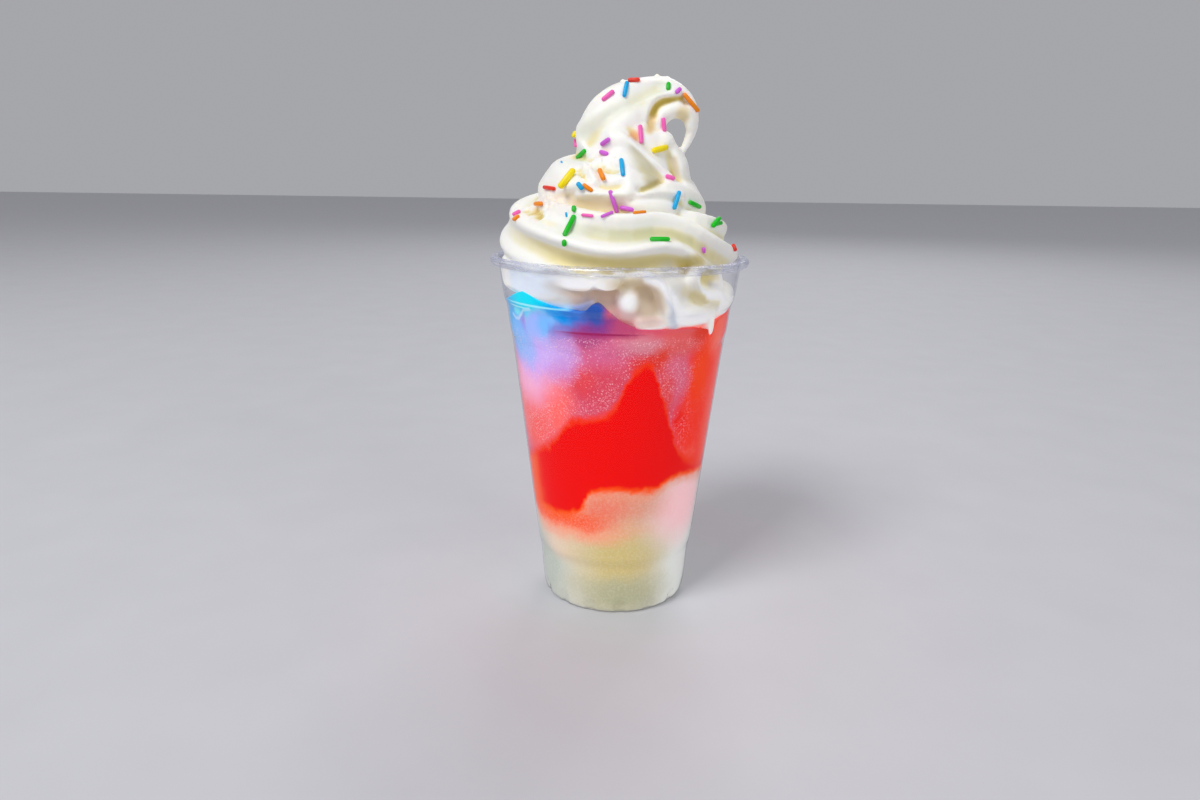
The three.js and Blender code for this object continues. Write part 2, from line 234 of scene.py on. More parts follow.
def clear_plastic():
    material, place = new_material("clear_plastic")
    height = place.part(2) * 1000
    grazing = place.node("LayerWeight", None, {"Blend": 0.5}, 1)
    # The roll is a rod of plastic, so that it shines more than the wall; painted sparkles of
    # highlight sit on its top.
    roll = height.step(CUP_HEIGHT - 4, CUP_HEIGHT - 3)
    painted_sparkles = place.noise(0.7, 1).step(0.55, 0.62) * height.step(CUP_HEIGHT - 0.9, CUP_HEIGHT - 0.3)
    steps = height.step(118.4, 119) * height.step(121.4, 120.6)
    bump = place.noise(9, 1).bump(0.2, 0.4)
    clear = place.node("BsdfTransparent", None, {"Color": (0.984, 0.985, 0.992, 1)})
    shine = place.node("BsdfGlossy", None, {"Roughness": 0.06, "Normal": bump})
    mirror = 0.009 + 0.8 * grazing ** 7 + roll * 0.04 + steps * 0.05
    wall = place.node("MixShader", None, {0: mirror, 1: clear, 2: shine})
    # Where one looks along the plastic it looks milky and faintly violet. On the roll, whiter
    # streaks are painted reflection lines.
    band = (angle_of(place) * 0.12).beside(height * 1.7)
    painted_streaks = band.node("TexNoise", None, {"Vector": band, "Scale": 1, "Detail": 3}).step(0.52, 0.66)
    painted_streaks = painted_streaks * height.step(CUP_HEIGHT - 3.8, CUP_HEIGHT - 3)
    haze_with_streaks = painted_streaks.over(paint(200, 203, 234), paint(250, 250, 252))
    milky_and_glints = place.node("BsdfPrincipled", None, {"Base Color": haze_with_streaks, "Roughness": 0.15})
    share = grazing ** 7 * 0.4 + roll * (0.03 + 0.3 * grazing ** 4) + painted_sparkles * 0.6 + painted_streaks * 0.3
    dressed = place.node("MixShader", None, {0: share, 1: wall, 2: milky_and_glints})
    return coated(material, dressed)


def step_foot_in(skin):
    """Between the lugs the outside of the foot steps in."""
    for vertex in skin.verts:
        x, y, height = vertex.co / MM
        radius = math.hypot(x, y)
        if radius > FOOT_RADIUS - 0.2:
            turn = math.atan2(x, -y) - math.radians(LUG_GAP_ANGLE)
            between = min(1, max(0, 3 * math.cos(LUGS * turn) - 1.2))
            gap = LUG_DEPTH * between * min(1, max(0, (LUG_HEIGHT - height) / LUG_FADE))
            vertex.co.xy *= 1 - gap / radius


def cup():
    curl = (RIM_RADIUS - CURL, CUP_HEIGHT - CURL)
    inner = [(radius - WALL, height) for radius, height in WALL_OUTSIDE[1:]]
    profile = [
        (0, FLOOR_HEIGHT),
        (22.6, FLOOR_HEIGHT),
        (25.0, 0.6),
        (25.8, 0),
        (FOOT_RADIUS, 0),
        *WALL_OUTSIDE,
        *arc(*curl, CURL - WALL, 180, -60, 12),
        *arc(*curl, CURL, -60, 180, 24),
        *reversed(inner),
        (28.2, 1.3),
        (27.3, WALL),
        (26.2, WALL),
        (25.4, 1.1),
        (23.0, FLOOR_HEIGHT + WALL),
        (0, FLOOR_HEIGHT + WALL),
    ]
    skin = spun(rounded(profile))
    step_foot_in(skin)
    finished(skin, "clear_cup", clear_plastic(), "clear_plastic", "cup")


cup()


# The slush
# Wet crushed ice in four colours, poured in one after the other, so that they bleed into each
# other. It fills the cup up to the moulded step, and heaps up a little at the left and right.

SLUSH_LEVEL = 112.8
INTO_WALL = 0.15
# The wall is cut in rings this far apart, from this height up.
FIRST_RING = 10.0
RING_GAP = 1.6
# The rings on the slush's top, as shares of its radius.
RINGS_ON_TOP = (1, 0.97, 0.93, 0.86, 0.77, 0.66, 0.54, 0.4, 0.2, 0)
# Below this height the wall's rings stay level.
LEVEL_BELOW = 84
# The top is calm this far from the middle, and further out than the second it is as high as
# its edge on the wall.
CALM_WITHIN = 18
HEAPED_FROM = 38
# A colour ramp holds values up to 1, so heights go in as shares of this one.
RAMP_TOP = 140


def inside_radius(height):
    """The wall's inside radius at a height, or at many of them."""
    radii, heights = zip(*WALL_OUTSIDE)
    return np.interp(height, heights, radii) - WALL


def smoothly(value, low, high):
    """Goes smoothly from 0 at low to 1 at high."""
    share = min(1, max(0, (value - low) / (high - low)))
    return share * share * (3 - 2 * share)


# The slush's edge on the wall: [angle from the front, in degrees to the right, height].
SLUSH_EDGE = (
    (-180, 116), (-150, 118), (-120, 119), (-90, 119), (-75, 120.5), (-65, 122.4), (-58, 124.2),
    (-50, 125.8), (-45, 125), (-40, 123.4), (-30, 121.6), (-20, 120.4), (-15, 120.8),
    (-13, 122.8), (-11, 124), (-8, 122.8), (-5, 120.8), (-2, 119.2),
    (2, 117.2), (9, 115), (20, 114.8), (34, 114.4), (47, 113.6), (50, 113), (51, 110.2),
    (55, 110.2), (56.5, 115), (60, 116), (66, 117), (75, 118.5), (90, 119), (120, 115), (150, 114),
    (180, 116),
)


def top_of_slush(x, y):
    """The slush is calm in the middle and climbs to its edge on the wall."""
    angle = math.degrees(math.atan2(x, -y))
    edge = float(np.interp(angle, *zip(*SLUSH_EDGE)))
    share = smoothly(math.hypot(x, y), CALM_WITHIN, HEAPED_FROM)
    return SLUSH_LEVEL + (edge - SLUSH_LEVEL) * share


# Heights where one colour gives way to the next, by the angle from the front, in degrees to
# the right: [angle, height].
TOP_OF_WHITE = (
    (-180, 57), (-150, 62), (-120, 56), (-90, 48), (-70, 42), (-55, 42), (-40, 42.2), (-29, 43.2),
    (-23, 46), (-19, 50), (-15, 53.3), (-8, 54.6), (0, 55), (10, 54.6), (20, 54.8), (28, 56.5),
    (36, 58.8), (46, 59), (58, 57.3), (75, 55), (120, 50), (150, 50), (180, 57),
)
TOP_OF_RED = (
    (-180, 105), (-150, 84), (-120, 75), (-90, 58), (-75, 59), (-62, 62), (-52, 65.5), (-42, 69.5),
    (-35, 73), (-30, 77), (-25, 79.6), (-18, 80.8), (-10, 82), (-5, 84), (0, 88), (4, 94), (8, 98.5),
    (13, 101), (18, 102), (21, 97), (24, 89), (29, 82), (34, 73), (39, 67), (45, 64), (54, 61.5),
    (68, 59), (90, 66), (110, 80), (140, 96), (180, 105),
)

SLUSH_WHITE = paint(216, 213, 200)
SLUSH_RED = paint(240, 0, 0)
SLUSH_PINK = paint(220, 84, 110)
SLUSH_ORANGE = paint(255, 84, 6)
# Stains in the slush, and some painted shade: [angle, height, half width in degrees, half
# height in mm, softness, colour as on a screen, share].
STAINS_AND_SHADE_IN_WHITE = (
    (60, 20, 30, 24, 1.2, (230, 232, 224), 1),
    (-62, 16, 24, 18, 1.2, (186, 193, 180), 1),
    (-40, 31, 26, 8, 1.4, (228, 200, 182), 0.8),
    (-38, 27, 17, 7, 1.4, (232, 208, 182), 0.8),
    # Painted shade: the tan middle of the front, where less light comes through the slush, and a darker
    # band along the bottom, partly thinner slush and partly shadow.
    (3, 24, 30, 18, 1.5, (208, 188, 124), 1),
    (5, 8, 34, 8, 1.4, (174, 173, 138), 0.9),
    (50, 44, 26, 14, 1.4, (255, 202, 204), 1),
    (6, 48, 26, 10, 1.4, (226, 150, 122), 0.9),
    (-12, 47, 20, 7, 1.5, (240, 112, 84), 0.8),
    (-35, 35.5, 40, 5, 1.6, (252, 150, 116), 0.9),
    (-20, 41, 16, 4, 1.6, (242, 112, 78), 0.9),
    (-46, 39.4, 28, 4.4, 1.2, (255, 76, 4), 1),
)
STAINS_AND_SHADE_ON_TOP = (
    (62, 88, 24, 42, 0.7, (255, 44, 0), 1),
    (50, 95, 8, 15, 1.2, (255, 66, 0), 0.9),
    (46, 76, 12, 12, 1.2, (255, 44, 14), 0.9),
    (38, 79, 5, 4, 1, (248, 26, 6), 0.9),
    (48, 66, 8, 3, 1.2, (255, 72, 52), 0.8),
    (68, 80, 7, 34, 1.2, (255, 96, 70), 0.3),
    (31, 97, 10, 9, 1, (224, 98, 124), 1),
    (26, 91, 5, 8, 1.4, (232, 54, 44), 0.8),
    (32, 110.5, 15, 6, 1.2, (230, 94, 90), 0.9),
    (45, 112, 6, 3, 1.2, (226, 56, 26), 0.8),
    (61, 111, 7, 8, 1.2, (255, 112, 90), 0.8),
    (22, 105, 5, 4.5, 1.2, (232, 62, 26), 0.8),
    (15, 102, 9, 5, 1.6, (226, 44, 24), 0.85),
    (-8, 93, 16, 9, 1.4, (216, 66, 86), 0.9),
    (-19, 96, 7, 5, 1.4, (228, 66, 72), 0.8),
    (10, 110, 12, 3.5, 1.4, (218, 136, 148), 0.9),
    (-12, 107, 16, 6, 1.4, (214, 102, 146), 0.8),
    (-37, 84, 12, 12, 1.2, (255, 104, 98), 1),
    (-59, 80, 17, 16, 1, (250, 114, 114), 1),
    (-56, 73, 13, 7, 1.4, (250, 92, 84), 0.8),
    (-58, 94, 20, 9, 1.4, (250, 172, 206), 1),
    (-50, 103, 22, 8, 1.2, (214, 170, 240), 1),
    (-31, 104, 9, 8, 1.4, (208, 144, 212), 0.9),
    (-117, 116, 46, 14, 0.7, (30, 160, 240), 1),
    (-70, 110, 18, 8, 1.2, (100, 180, 246), 1),
    (-74, 120, 16, 9, 0.8, (60, 176, 240), 1),
    (-53, 114, 6, 5, 1.8, (164, 120, 226), 0.75),
    (-24, 114.5, 7, 4, 1.4, (112, 104, 188), 0.9),
    (-14, 112, 9, 3, 1.4, (172, 60, 122), 0.8),
    # Painted shade: a dark purple zone over the slush's upper edge at the front.
    (-8, 116.6, 13, 3.4, 1.2, (136, 58, 138), 1),
    (4, 116, 8, 3.2, 1.2, (192, 72, 112), 0.9),
    (-42, 121.4, 24, 4.6, 0.8, (0, 184, 238), 1),
    (-30, 118.4, 9, 3.8, 1, (0, 150, 232), 1),
    (-50, 123, 12, 5, 1.4, (0, 224, 244), 1),
    (-19, 121, 8, 3.8, 1.2, (10, 112, 210), 0.9),
    (-11, 121.5, 5, 4.4, 1, (40, 84, 172), 1),
    (-41.5, 112.6, 12, 8.2, 0.3, (150, 226, 250), 0.5),
    (-41, 112, 11.2, 7.8, 0.5, (158, 184, 250), 1),
    (-36, 113.6, 6, 5.6, 1.2, (116, 186, 250), 0.9),
    (-29, 112, 5.5, 4, 1.2, (128, 128, 206), 0.9),
    (-29, 106, 8, 5, 1.4, (202, 146, 212), 0.9),
    (-45, 105, 15, 5, 1.4, (207, 176, 244), 1),
    (-61, 108, 8, 8, 1.4, (132, 188, 250), 0.9),
    (-53, 105, 6, 6, 1.4, (150, 186, 250), 0.7),
)
# Smooth lines that are drawn where the slush lies against the wall.
LINES_ON_WALL = (
    # The two dark pink lines are painted shade along the slush's upper edge at the front.
    (-10, 112.6, 18, 0.9, 1.6, (166, 40, 100), 0.5),
    (-9, 113.1, 18, 0.4, 1, (150, 20, 80), 0.8),
    (-46, 121, 22, 0.4, 1, (170, 244, 255), 0.85),
    (-58, 119.6, 9, 0.3, 1, (190, 248, 255), 0.7),
    (-60, 117.6, 4, 1.6, 1.4, (130, 240, 250), 0.7),
)
# A pale curve over the lavender slush: [half width, colour, share, spots by angle and height].
CURVE_ON_WALL = (
    (
        1.1, (214, 232, 252), 0.55,
        (-67, 116), (-63, 114.8), (-59, 115), (-56, 116.8), (-53, 118.8), (-47, 119.6),
    ),
)


def height_round(angle, rows):
    """A height that changes with the angle from the front, through the rows given."""
    stops = [((turn + 180) / 360, (height / RAMP_TOP,) * 3 + (1,)) for turn, height in rows]
    settings = {"blending": "CARDINAL", "stops": stops}
    return angle.node("ValToRGB", settings, {0: (angle + 180) * (1 / 360)}) * RAMP_TOP


def stain_and_shade_spots(spot, colour, rows_of_spots):
    """Soft round stains and painted light over a colour; the spot is the angle and the height."""
    for turn, height, wide, high, softness, spot_colour, share in rows_of_spots:
        away = spot.vector("SUBTRACT", (turn, height, 0)).vector("MULTIPLY", (1 / wide, 1 / high, 0))
        length = away.vector("LENGTH", None, 1)
        colour = (length.step(1 + softness / 2, 1 - softness / 2) * share).over(colour, paint(*spot_colour))
    return colour


def shaded(spot, colour, shades):
    """Draws soft bands over a colour, each along its own row of spots."""
    for wide, shade, share, *spots in shades:
        length = None
        for start, end in zip(spots, spots[1:]):
            run = (end[0] - start[0], end[1] - start[1], 0)
            away = spot.vector("SUBTRACT", (*start, 0))
            mark = away.vector("DOT_PRODUCT", run, 1) * (1 / (run[0] ** 2 + run[1] ** 2))
            mark = mark.math("MAXIMUM", 0).math("MINIMUM", 1)
            near = spot.node("VectorMath", {"operation": "SCALE"}, {0: run, "Scale": mark})
            short = away.vector("SUBTRACT", near).vector("LENGTH", None, 1)
            length = length.math("MINIMUM", short) if length else short
        colour = (length.step(wide, wide * 0.1) * share).over(colour, paint(*shade))
    return colour


def shaken(place, size, reach):
    """The place moved about by cloudy noise, so that what is read there has uneven edges."""
    cloud = place.noise(size, 3, 0.55, True).vector("SUBTRACT", (0.5, 0.5, 0.5))
    cloud = place.node("VectorMath", {"operation": "SCALE"}, {0: cloud, "Scale": reach * MM})
    return place.vector("ADD", cloud)


def wet_slush():
    material, place = new_material("wet_slush")
    moved = shaken(shaken(place, 16, 7), 2.2, 3)
    height = moved.part(2) * 1000
    angle = angle_of(moved)
    spot = angle.beside(height)

    over_white = height - height_round(angle, TOP_OF_WHITE)
    over_red = height - height_round(angle, TOP_OF_RED)
    colour = stain_and_shade_spots(spot, SLUSH_WHITE, STAINS_AND_SHADE_IN_WHITE)
    colour = over_white.step(-8, 0).over(colour, paint(242, 148, 116))
    colour = over_white.step(-3.6, -0.6).over(colour, SLUSH_ORANGE)
    bleeding = over_white.step(-8, -3.4) * angle.step(-16, -30) * angle.step(-112, -90)
    colour = (bleeding * 0.9).over(colour, SLUSH_ORANGE)
    colour = over_white.step(-1.4, 0.8).over(colour, SLUSH_RED)
    at_left = angle.step(-50, -64) * angle.step(-112, -90) * height.step(67, 58) * height.step(36, 42)
    colour = at_left.over(colour, paint(255, 86, 14))
    colour = (over_red.step(-2.6, -0.2) * 0.7).over(colour, paint(250, 62, 8))
    colour = over_red.step(-1.4, 3).over(colour, stain_and_shade_spots(spot, SLUSH_PINK, STAINS_AND_SHADE_ON_TOP))
    true_height = place.part(2) * 1000
    true_spot = angle_of(place).beside(true_height)
    colour = stain_and_shade_spots(true_spot, colour, LINES_ON_WALL)
    colour = shaded(true_spot, colour, CURVE_ON_WALL)

    # Air bubbles and ice crystals show as pale specks, most of them in the frosty part.
    calm = angle.step(38, 50) * angle.step(120, 95)
    frosty = over_red.step(0, 4) * true_height.step(112.5, 110) * (1 - 0.75 * calm)
    cells = place.node("TexVoronoi", None, {"Vector": place, "Scale": 1 / (1.05 * MM)})
    specks = cells.step(0.34, 0.1) * place.noise(7, 2).step(0.4, 0.6)
    needles = place.noise(0.5, 2, 0.6).step(0.5, 0.68) * frosty * place.noise(10, 2).step(0.35, 0.6)
    colour = (needles * 0.35 + specks * frosty * 0.45).over(colour, paint(255, 215, 228))
    grains = place.noise(0.8, 3, 0.65)
    in_white = over_white.step(0, -4)
    colour = (grains.step(0.4, 0.75) * in_white * 0.14).over(colour, paint(250, 250, 244))

    rise = grains * (0.15 + 0.5 * in_white + 0.5 * frosty) + specks * (0.1 + 0.9 * frosty)
    bump = rise.bump(0.3, 0.25)
    body = place.node("BsdfPrincipled", None, {
        "Base Color": colour,
        "Roughness": 0.35 + 0.2 * grains,
        "Normal": bump,
        "Specular IOR Level": 0.1,
        # The slush glows faintly in its own colour though it is no lamp: painted light that brightens
        # it.
        "Emission Color": colour,
        "Emission Strength": 0.22,
    })
    return coated(material, body)


def slush():
    bottom = FLOOR_HEIGHT + WALL - INTO_WALL
    foot = rounded([
        (0, bottom),
        (22.9, bottom),
        (25.3, 1.1),
        (26.4, 0.4),
        (27.3, 0.4),
        (28.3, 1.2),
        *((radius - WALL + INTO_WALL, height) for radius, height in WALL_OUTSIDE[1:6]),
    ])
    foot = [(radius, height) for radius, height in foot if height < FIRST_RING]
    rings = np.arange(FIRST_RING, SLUSH_LEVEL, RING_GAP)
    wall = [(inside_radius(height) + INTO_WALL, height) for height in rings]
    wide = inside_radius(SLUSH_LEVEL) + INTO_WALL
    top = [(wide * share, SLUSH_LEVEL) for share in RINGS_ON_TOP]
    skin = spun(foot + wall + top)
    step_foot_in(skin)
    # The wall's rings near the top climb with the heaps, and stay on the wall.
    for vertex in skin.verts:
        x, y, z = vertex.co / MM
        share = smoothly(z, LEVEL_BELOW, SLUSH_LEVEL)
        if share == 0:
            continue
        radius = math.hypot(x, y)
        height = z + (top_of_slush(x, y) - SLUSH_LEVEL) * share
        if radius > inside_radius(z) - 0.01:
            vertex.co.xy *= (inside_radius(height) + INTO_WALL) / radius
        vertex.co.z = height * MM
    nodes = ("slush_white", "slush_red", "slush_pink", "slush_blue")
    finished(skin, "layered_slush", wet_slush(), "red_slush", *nodes)


slush()


# The soft ice cream
# A thick rope pressed through a star nozzle and laid round in the cup, so that its ridges wind
# round it. The first folds slump against the wall; the tip was pulled up and hooks over.

# The nozzle's ridges, and how far they hang over.
RIDGES = 7
RIDGE_LEAN = 0.6
# How deep the valleys between the ridges are, as a share of the rope's radius: [turn, depth].
RIDGE_DEPTHS = (
    (-1.1, 0.24), (0.36, 0.31), (0.52, 0.12), (0.75, 0.2), (0.95, 0.06), (1.7, 0.05), (2.1, 0.12),
    (2.6, 0.12),
)
# How far the ridges wind round the rope in each turn of the coil, and the angle that they have
# where the coil has made RIDGE_TURN turns, in degrees.
TWIST_PER_TURN = 218
RIDGE_TURN = 0.28
RIDGE_ANGLE = 3
# The ridges sway once: at which turn of the coil, over how much of a turn, and how many degrees.
WOBBLE_TURN = 0.18
WOBBLE_WIDTH = 0.04
WOBBLE_ANGLE = 33
# How finely the rope and the folds are cut, and the rings that round off a fold's ends, as
# shares of its radius.
SIDES_PER_RIDGE = 12
STATIONS_PER_TURN = 48
STATIONS_PER_ROW = 6
SIDES_OF_FOLD = 24
ROUND_END = (0.35, 0.6, 0.8, 0.93, 0.99)
# The rope rises clockwise, seen from above: [turn from the right-hand side, the coil's
# radius, height, the rope's own radius].
COIL = (
    (-1.1, 27, 121.5, 9),
    (-0.75, 25, 125, 11),
    (-0.5, 24, 128.5, 12),
    (-0.25, 28.5, 132.5, 13.8),
    (0, 29.5, 137.5, 15.2),
    (0.25, 29.6, 140.5, 15.6),
    (0.5, 29.7, 143.3, 15.8),
    (0.75, 26.5, 148.5, 14.8),
    (1, 18.5, 153.5, 13.6),
    (1.25, 18, 156.5, 13),
    (1.5, 18, 159.5, 13),
    (1.75, 14, 164, 13),
    (2, 11.5, 168.3, 12.6),
    (2.25, 7.5, 173, 13),
    (2.5, 4.2, 178.6, 13.8),
)
# The tip hooks over to the right, and its tail comes down on the coil: [x, y, z, radius].
HOOK = (
    (-0.5, -1, 185.6, 13.4),
    (7, -3, 190.8, 10.2),
    (15.6, -4, 193.2, 7.2),
    (22.4, -4, 190.2, 4.8),
    (25.4, -4, 184.6, 2.7),
    (24.4, -4, 179, 1.9),
    (22, -4, 174, 1.3),
)
# Where the ice cream was first laid down in the cup, against its wall: [angle from the front in
# degrees to the right, height, distance in from the wall, radius] along each fold.
FOLDS_IN_CUP = (
    # The bed that the others lie on, and its upper side.
    ((-28, 123, 14, 8.5), (4, 121.5, 12.5, 8.5), (32, 120.5, 11, 8.5), (60, 120.5, 9.5, 8.5)),
    (
        (-24, 129, 15, 8.5), (0, 129, 14.5, 8.5), (22, 128, 13.5, 8.5), (42, 127, 12.5, 8.5),
        (62, 126.5, 11, 8.5),
    ),
    # The tongue at the left, and the two soft lobes that lie over its end.
    ((-72, 131.4, 6.6, 8.2), (-50, 129.9, 7.4, 8.4), (-34, 128, 7.8, 8.4), (-23, 127.4, 7.6, 7.2)),
    ((-36, 133.2, 3.4, 3), (-29, 132.4, 2.2, 3.4), (-21, 130.5, 1.6, 3.5), (-15, 130.1, 1.8, 3.3)),
    ((-11, 131.4, 4, 2.6), (-7, 130.7, 1.9, 3.1), (-2.5, 130.9, 1.9, 3), (1, 132, 4, 2.6)),
    # The pearl in the middle, and the small lump under it.
    ((4.2, 125.4, 5.4, 4.2), (4.6, 123.4, 5.4, 4.2)),
    ((3, 119.6, 5, 3), (6, 119.4, 5, 3)),
    # The curtain: an arch that runs down at the right as a long ridge, with its flat side.
    (
        (2, 131.2, 4.4, 2.2), (7, 132.2, 3.4, 2.4), (12, 132.4, 2.7, 2.6), (16.6, 131, 2.3, 2.8),
        (20, 127, 2.2, 2.8), (23, 122, 2.2, 2.8), (26, 117.5, 2.4, 2.8), (28, 115, 3, 2.6),
    ),
    ((23, 130.6, 8, 5), (27, 130, 7.2, 5.4), (32, 127.8, 6.8, 5.4), (36, 124.4, 8, 5)),
    ((28, 124, 6, 4.4), (31, 121, 6, 4.4)),
    # The shoulder at the right, and its foot.
    (
        (43, 137, 6.4, 3), (38.4, 134.4, 3.4, 2.6), (36.4, 131.2, 2.4, 2.6), (37.4, 128.4, 2.2, 2.6),
        (42, 126, 2.2, 2.7), (49, 124.5, 2.4, 2.9), (56, 123.8, 2.7, 3.1), (62, 122.8, 3.4, 3.2),
    ),
    ((54, 121.6, 5.4, 4.4), (62, 120.8, 4, 4.4), (72, 121.4, 4, 4.6), (84, 123, 5, 5)),
    # The block under it, with one drip, and the thin shelf beside it.
    ((31, 118.1, 3.2, 3.7), (38, 118.1, 2.9, 3.7), (46.5, 118.1, 3.2, 3.7)),
    ((51.2, 119.6, 1.8, 2.4), (52.8, 116, 1.5, 2.2), (53.2, 112.2, 1.3, 2)),
    ((11.5, 116.8, 2.4, 2.7), (15.5, 116.8, 2.2, 2.8), (20.5, 116.6, 2.4, 2.7)),
)
# More folds near the top: the lump and the arch under the hooked tip, the breast of the peak,
# and the slope under it: [x, y, z, radius].
FOLDS_ABOVE = (
    ((18, -4, 163, 8), (15.6, -6, 169.5, 8.6), (14.2, -8.6, 176.6, 5.2)),
    (
        (10, -6.5, 177, 4.2), (11.8, -7, 183, 4), (13.4, -7, 186, 3.6), (15.4, -7, 187.7, 3.4),
        (19.5, -7, 188.7, 3.1), (23.6, -6, 186.4, 2.5), (25, -5, 182.5, 2),
    ),
    ((-6, -6, 181, 9.5), (-3, -7.5, 184, 9), (1, -8.3, 186.5, 7.6)),
    ((0, -15.5, 168, 8), (6, -14.3, 167, 8), (11, -12.5, 165.8, 7)),
)
# What the nozzle and the pull left on the surface: [half width, height, points], where a height
# below nothing presses a groove in.
STROKES = (
    # A soft valley along the peak.
    (4.4, -2.7, ((-12.5, -12.5, 177.5), (-9.5, -13.8, 181.5), (-5.3, -15, 186), (0, -14, 189.5),
                 (6, -11.5, 192.7), (11.4, -9, 195.1))),
    # Under the hooked tip: an outer ridge with a crease between it and the inner arch.
    (1.6, 0.9, ((8.2, -12, 183), (8.6, -11.5, 186.5), (9.8, -11.3, 190), (13, -10.8, 193),
                (18, -10, 194.3))),
    (1.3, -1.9, ((10.9, -10.2, 186.6), (12, -9.8, 189), (13.8, -9.4, 190.7), (16.4, -9.2, 191.7),
                 (19.7, -8.6, 192.3), (23.2, -8.4, 191.3))),
    (1.3, -0.9, ((18, -8.5, 187.6), (20.4, -8, 187.6), (22.6, -7.5, 185.6))),
    (1.2, -1.6, ((2.5, -13.9, 181.5), (3.9, -15.1, 179.8), (5.4, -16.2, 178.1))),
    # The lobe that runs down from the peak, and the fold on its right with a hollow below it.
    (3.4, 1.4, ((-3.6, -18.6, 178.9), (-0.2, -18.8, 175.6), (2, -20, 171),
                (2.7, -26.9, 165.9), (2.8, -29.6, 162.3))),
    (1.6, 1.6, ((0.1, -19.5, 179.5), (2.9, -20.1, 177.3), (5.3, -20.4, 175.3), (8.2, -20.6, 173.3),
                (10.6, -20.1, 171.7), (12.9, -18.8, 169.4), (14.7, -17.7, 167.1), (16.6, -17, 165.5))),
    (4.4, -1.2, ((5, -21.5, 173.6), (7.6, -20.8, 170.8), (10.1, -20, 167.8), (12.6, -20, 165.5))),
    (1.5, -1.8, ((6.6, -28, 160.7), (9.7, -26.5, 161.7), (12.8, -24.9, 163.4), (14.6, -21.9, 165.1))),
    (1.9, -1.5, ((17.6, -13.1, 174), (18.3, -13.8, 171.3), (19.2, -13.6, 167.9), (20.3, -14.4, 164.4))),
    # The ridges of the first coil run together at the left.
    (3.4, 1.6, ((-25, -26, 151.6), (-20.5, -31, 149.6), (-16, -34.6, 148.2), (-13.5, -36, 147.8))),
    # The thin lip round the second coil, and the hollow between it and the first coil.
    (1.0, 1.3, ((6.6, -29, 159.2), (9.3, -28.3, 160), (12.1, -27.2, 160.6), (14.9, -25.9, 160.6),
                (18.5, -23.6, 160.3), (22.2, -20.9, 159.1))),
    (1.3, -1.4, ((3.9, -30.1, 157.6), (7.3, -28.5, 158), (10.8, -27.1, 158.3),
                 (15, -24.8, 158.2), (20.9, -20.9, 156.8))),
    (1.0, 1.3, ((-14.8, -25.7, 158.6), (-10.5, -28.3, 159.4), (-6.3, -30.6, 159.5),
                (-1.9, -30.9, 159.6), (2.5, -31, 159.5))),
    (3.0, -1.8, ((-18.3, -23.7, 156.4), (-14, -25.5, 155.5), (-8.7, -27.5, 155.1),
                 (-3.6, -28.4, 155.2), (0, -29, 155.6))),
    # Torn places on the left of the second coil.
    (1.5, -1.8, ((-7.1, -28.4, 162.5), (-3.7, -28.9, 161.9), (-0.3, -28.3, 162.2))),
    (1.5, 1.5, ((-8.9, -18.9, 170.8), (-5.3, -19.5, 170.5), (-1.8, -19.8, 170.2), (1, -19.7, 169.6))),
    (1.3, -1.2, ((-7.5, -23, 168), (-4, -24.5, 167.2), (-1, -25, 167))),
    (1.3, 1.2, ((-13, -19.3, 168.8), (-11.5, -22.5, 167.4), (-10, -25.2, 165.4), (-8.5, -27.2, 163.4))),
    (1.3, -1.4, ((-15, -20.5, 167.5), (-13.5, -23.5, 166), (-12, -26, 164))),
    (2.2, 1.8, ((-17.2, -25, 161.3), (-15.4, -26.5, 162.5), (-13.3, -27.5, 162.5))),
    (1.3, -1.2, ((-24.2, -20.1, 157.4), (-20.5, -21.8, 158.5), (-16.9, -24.4, 159.3))),
    (1.6, -2.2, ((-30.3, -16, 153), (-28.6, -20, 151.8), (-27, -24, 150.4))),
    (1.3, -1.6, ((-34, -14, 152), (-32.4, -18, 151))),
    # Points where the tip tore off the nozzle.
    (0.8, 1.3, ((-0.1, -3, 198.4), (0.2, -3, 199))),
    (0.8, 1.2, ((12.2, -3.5, 200.2), (12.4, -3.5, 200.6))),
    (0.8, 1, ((16.1, -3.5, 200.2), (16.3, -3.5, 200.6))),
    (0.9, 1.4, ((26, -3.5, 197.2), (26.4, -3.5, 197.6))),
    (0.9, 1.2, ((28.2, -3.5, 193.6), (28.8, -3.5, 194))),
    # Round the end of the tongue, and under the two lobes that lie on it.
    (1.2, -1.3, ((-23, -38, 133), (-19, -40.5, 129.6), (-13, -42, 127.2),
                 (-7, -43.4, 127.6), (-2, -43.5, 127.8), (1.5, -43, 129.6))),
)
# Patches that tore and stayed rough: [radius, roughness, middle].
TORN = (
    (4.5, 1.6, (-12, -21.5, 167)),
    (4.5, 1.2, (-4, -21, 169)),
    (6.0, 1.2, (-25, -23, 154.5)),
    (6.0, 1.3, (-32, -15, 154)),
)
# A plain core that the coil closes in: [radius, height].
CORE = ((0, 110), (27, 110), (27, 128), (22, 148), (14, 158), (9, 172), (5, 180), (0, 180))
# How far apart the points of the finished surface are, and the rounds of smoothing on the peak
# and of those that tell ridges from valleys.
GRAIN = 0.65
ROUNDS_ON_PEAK = 14
ROUNDS_FOR_HOLLOWS = 60
# The ice cream may press this far into the wall, and sink this far into the slush. Only what is
# below LOW_IN_CUP is near the slush.
PRESSED_IN = 0.1
SUNK_IN = 0.2
LOW_IN_CUP = 128


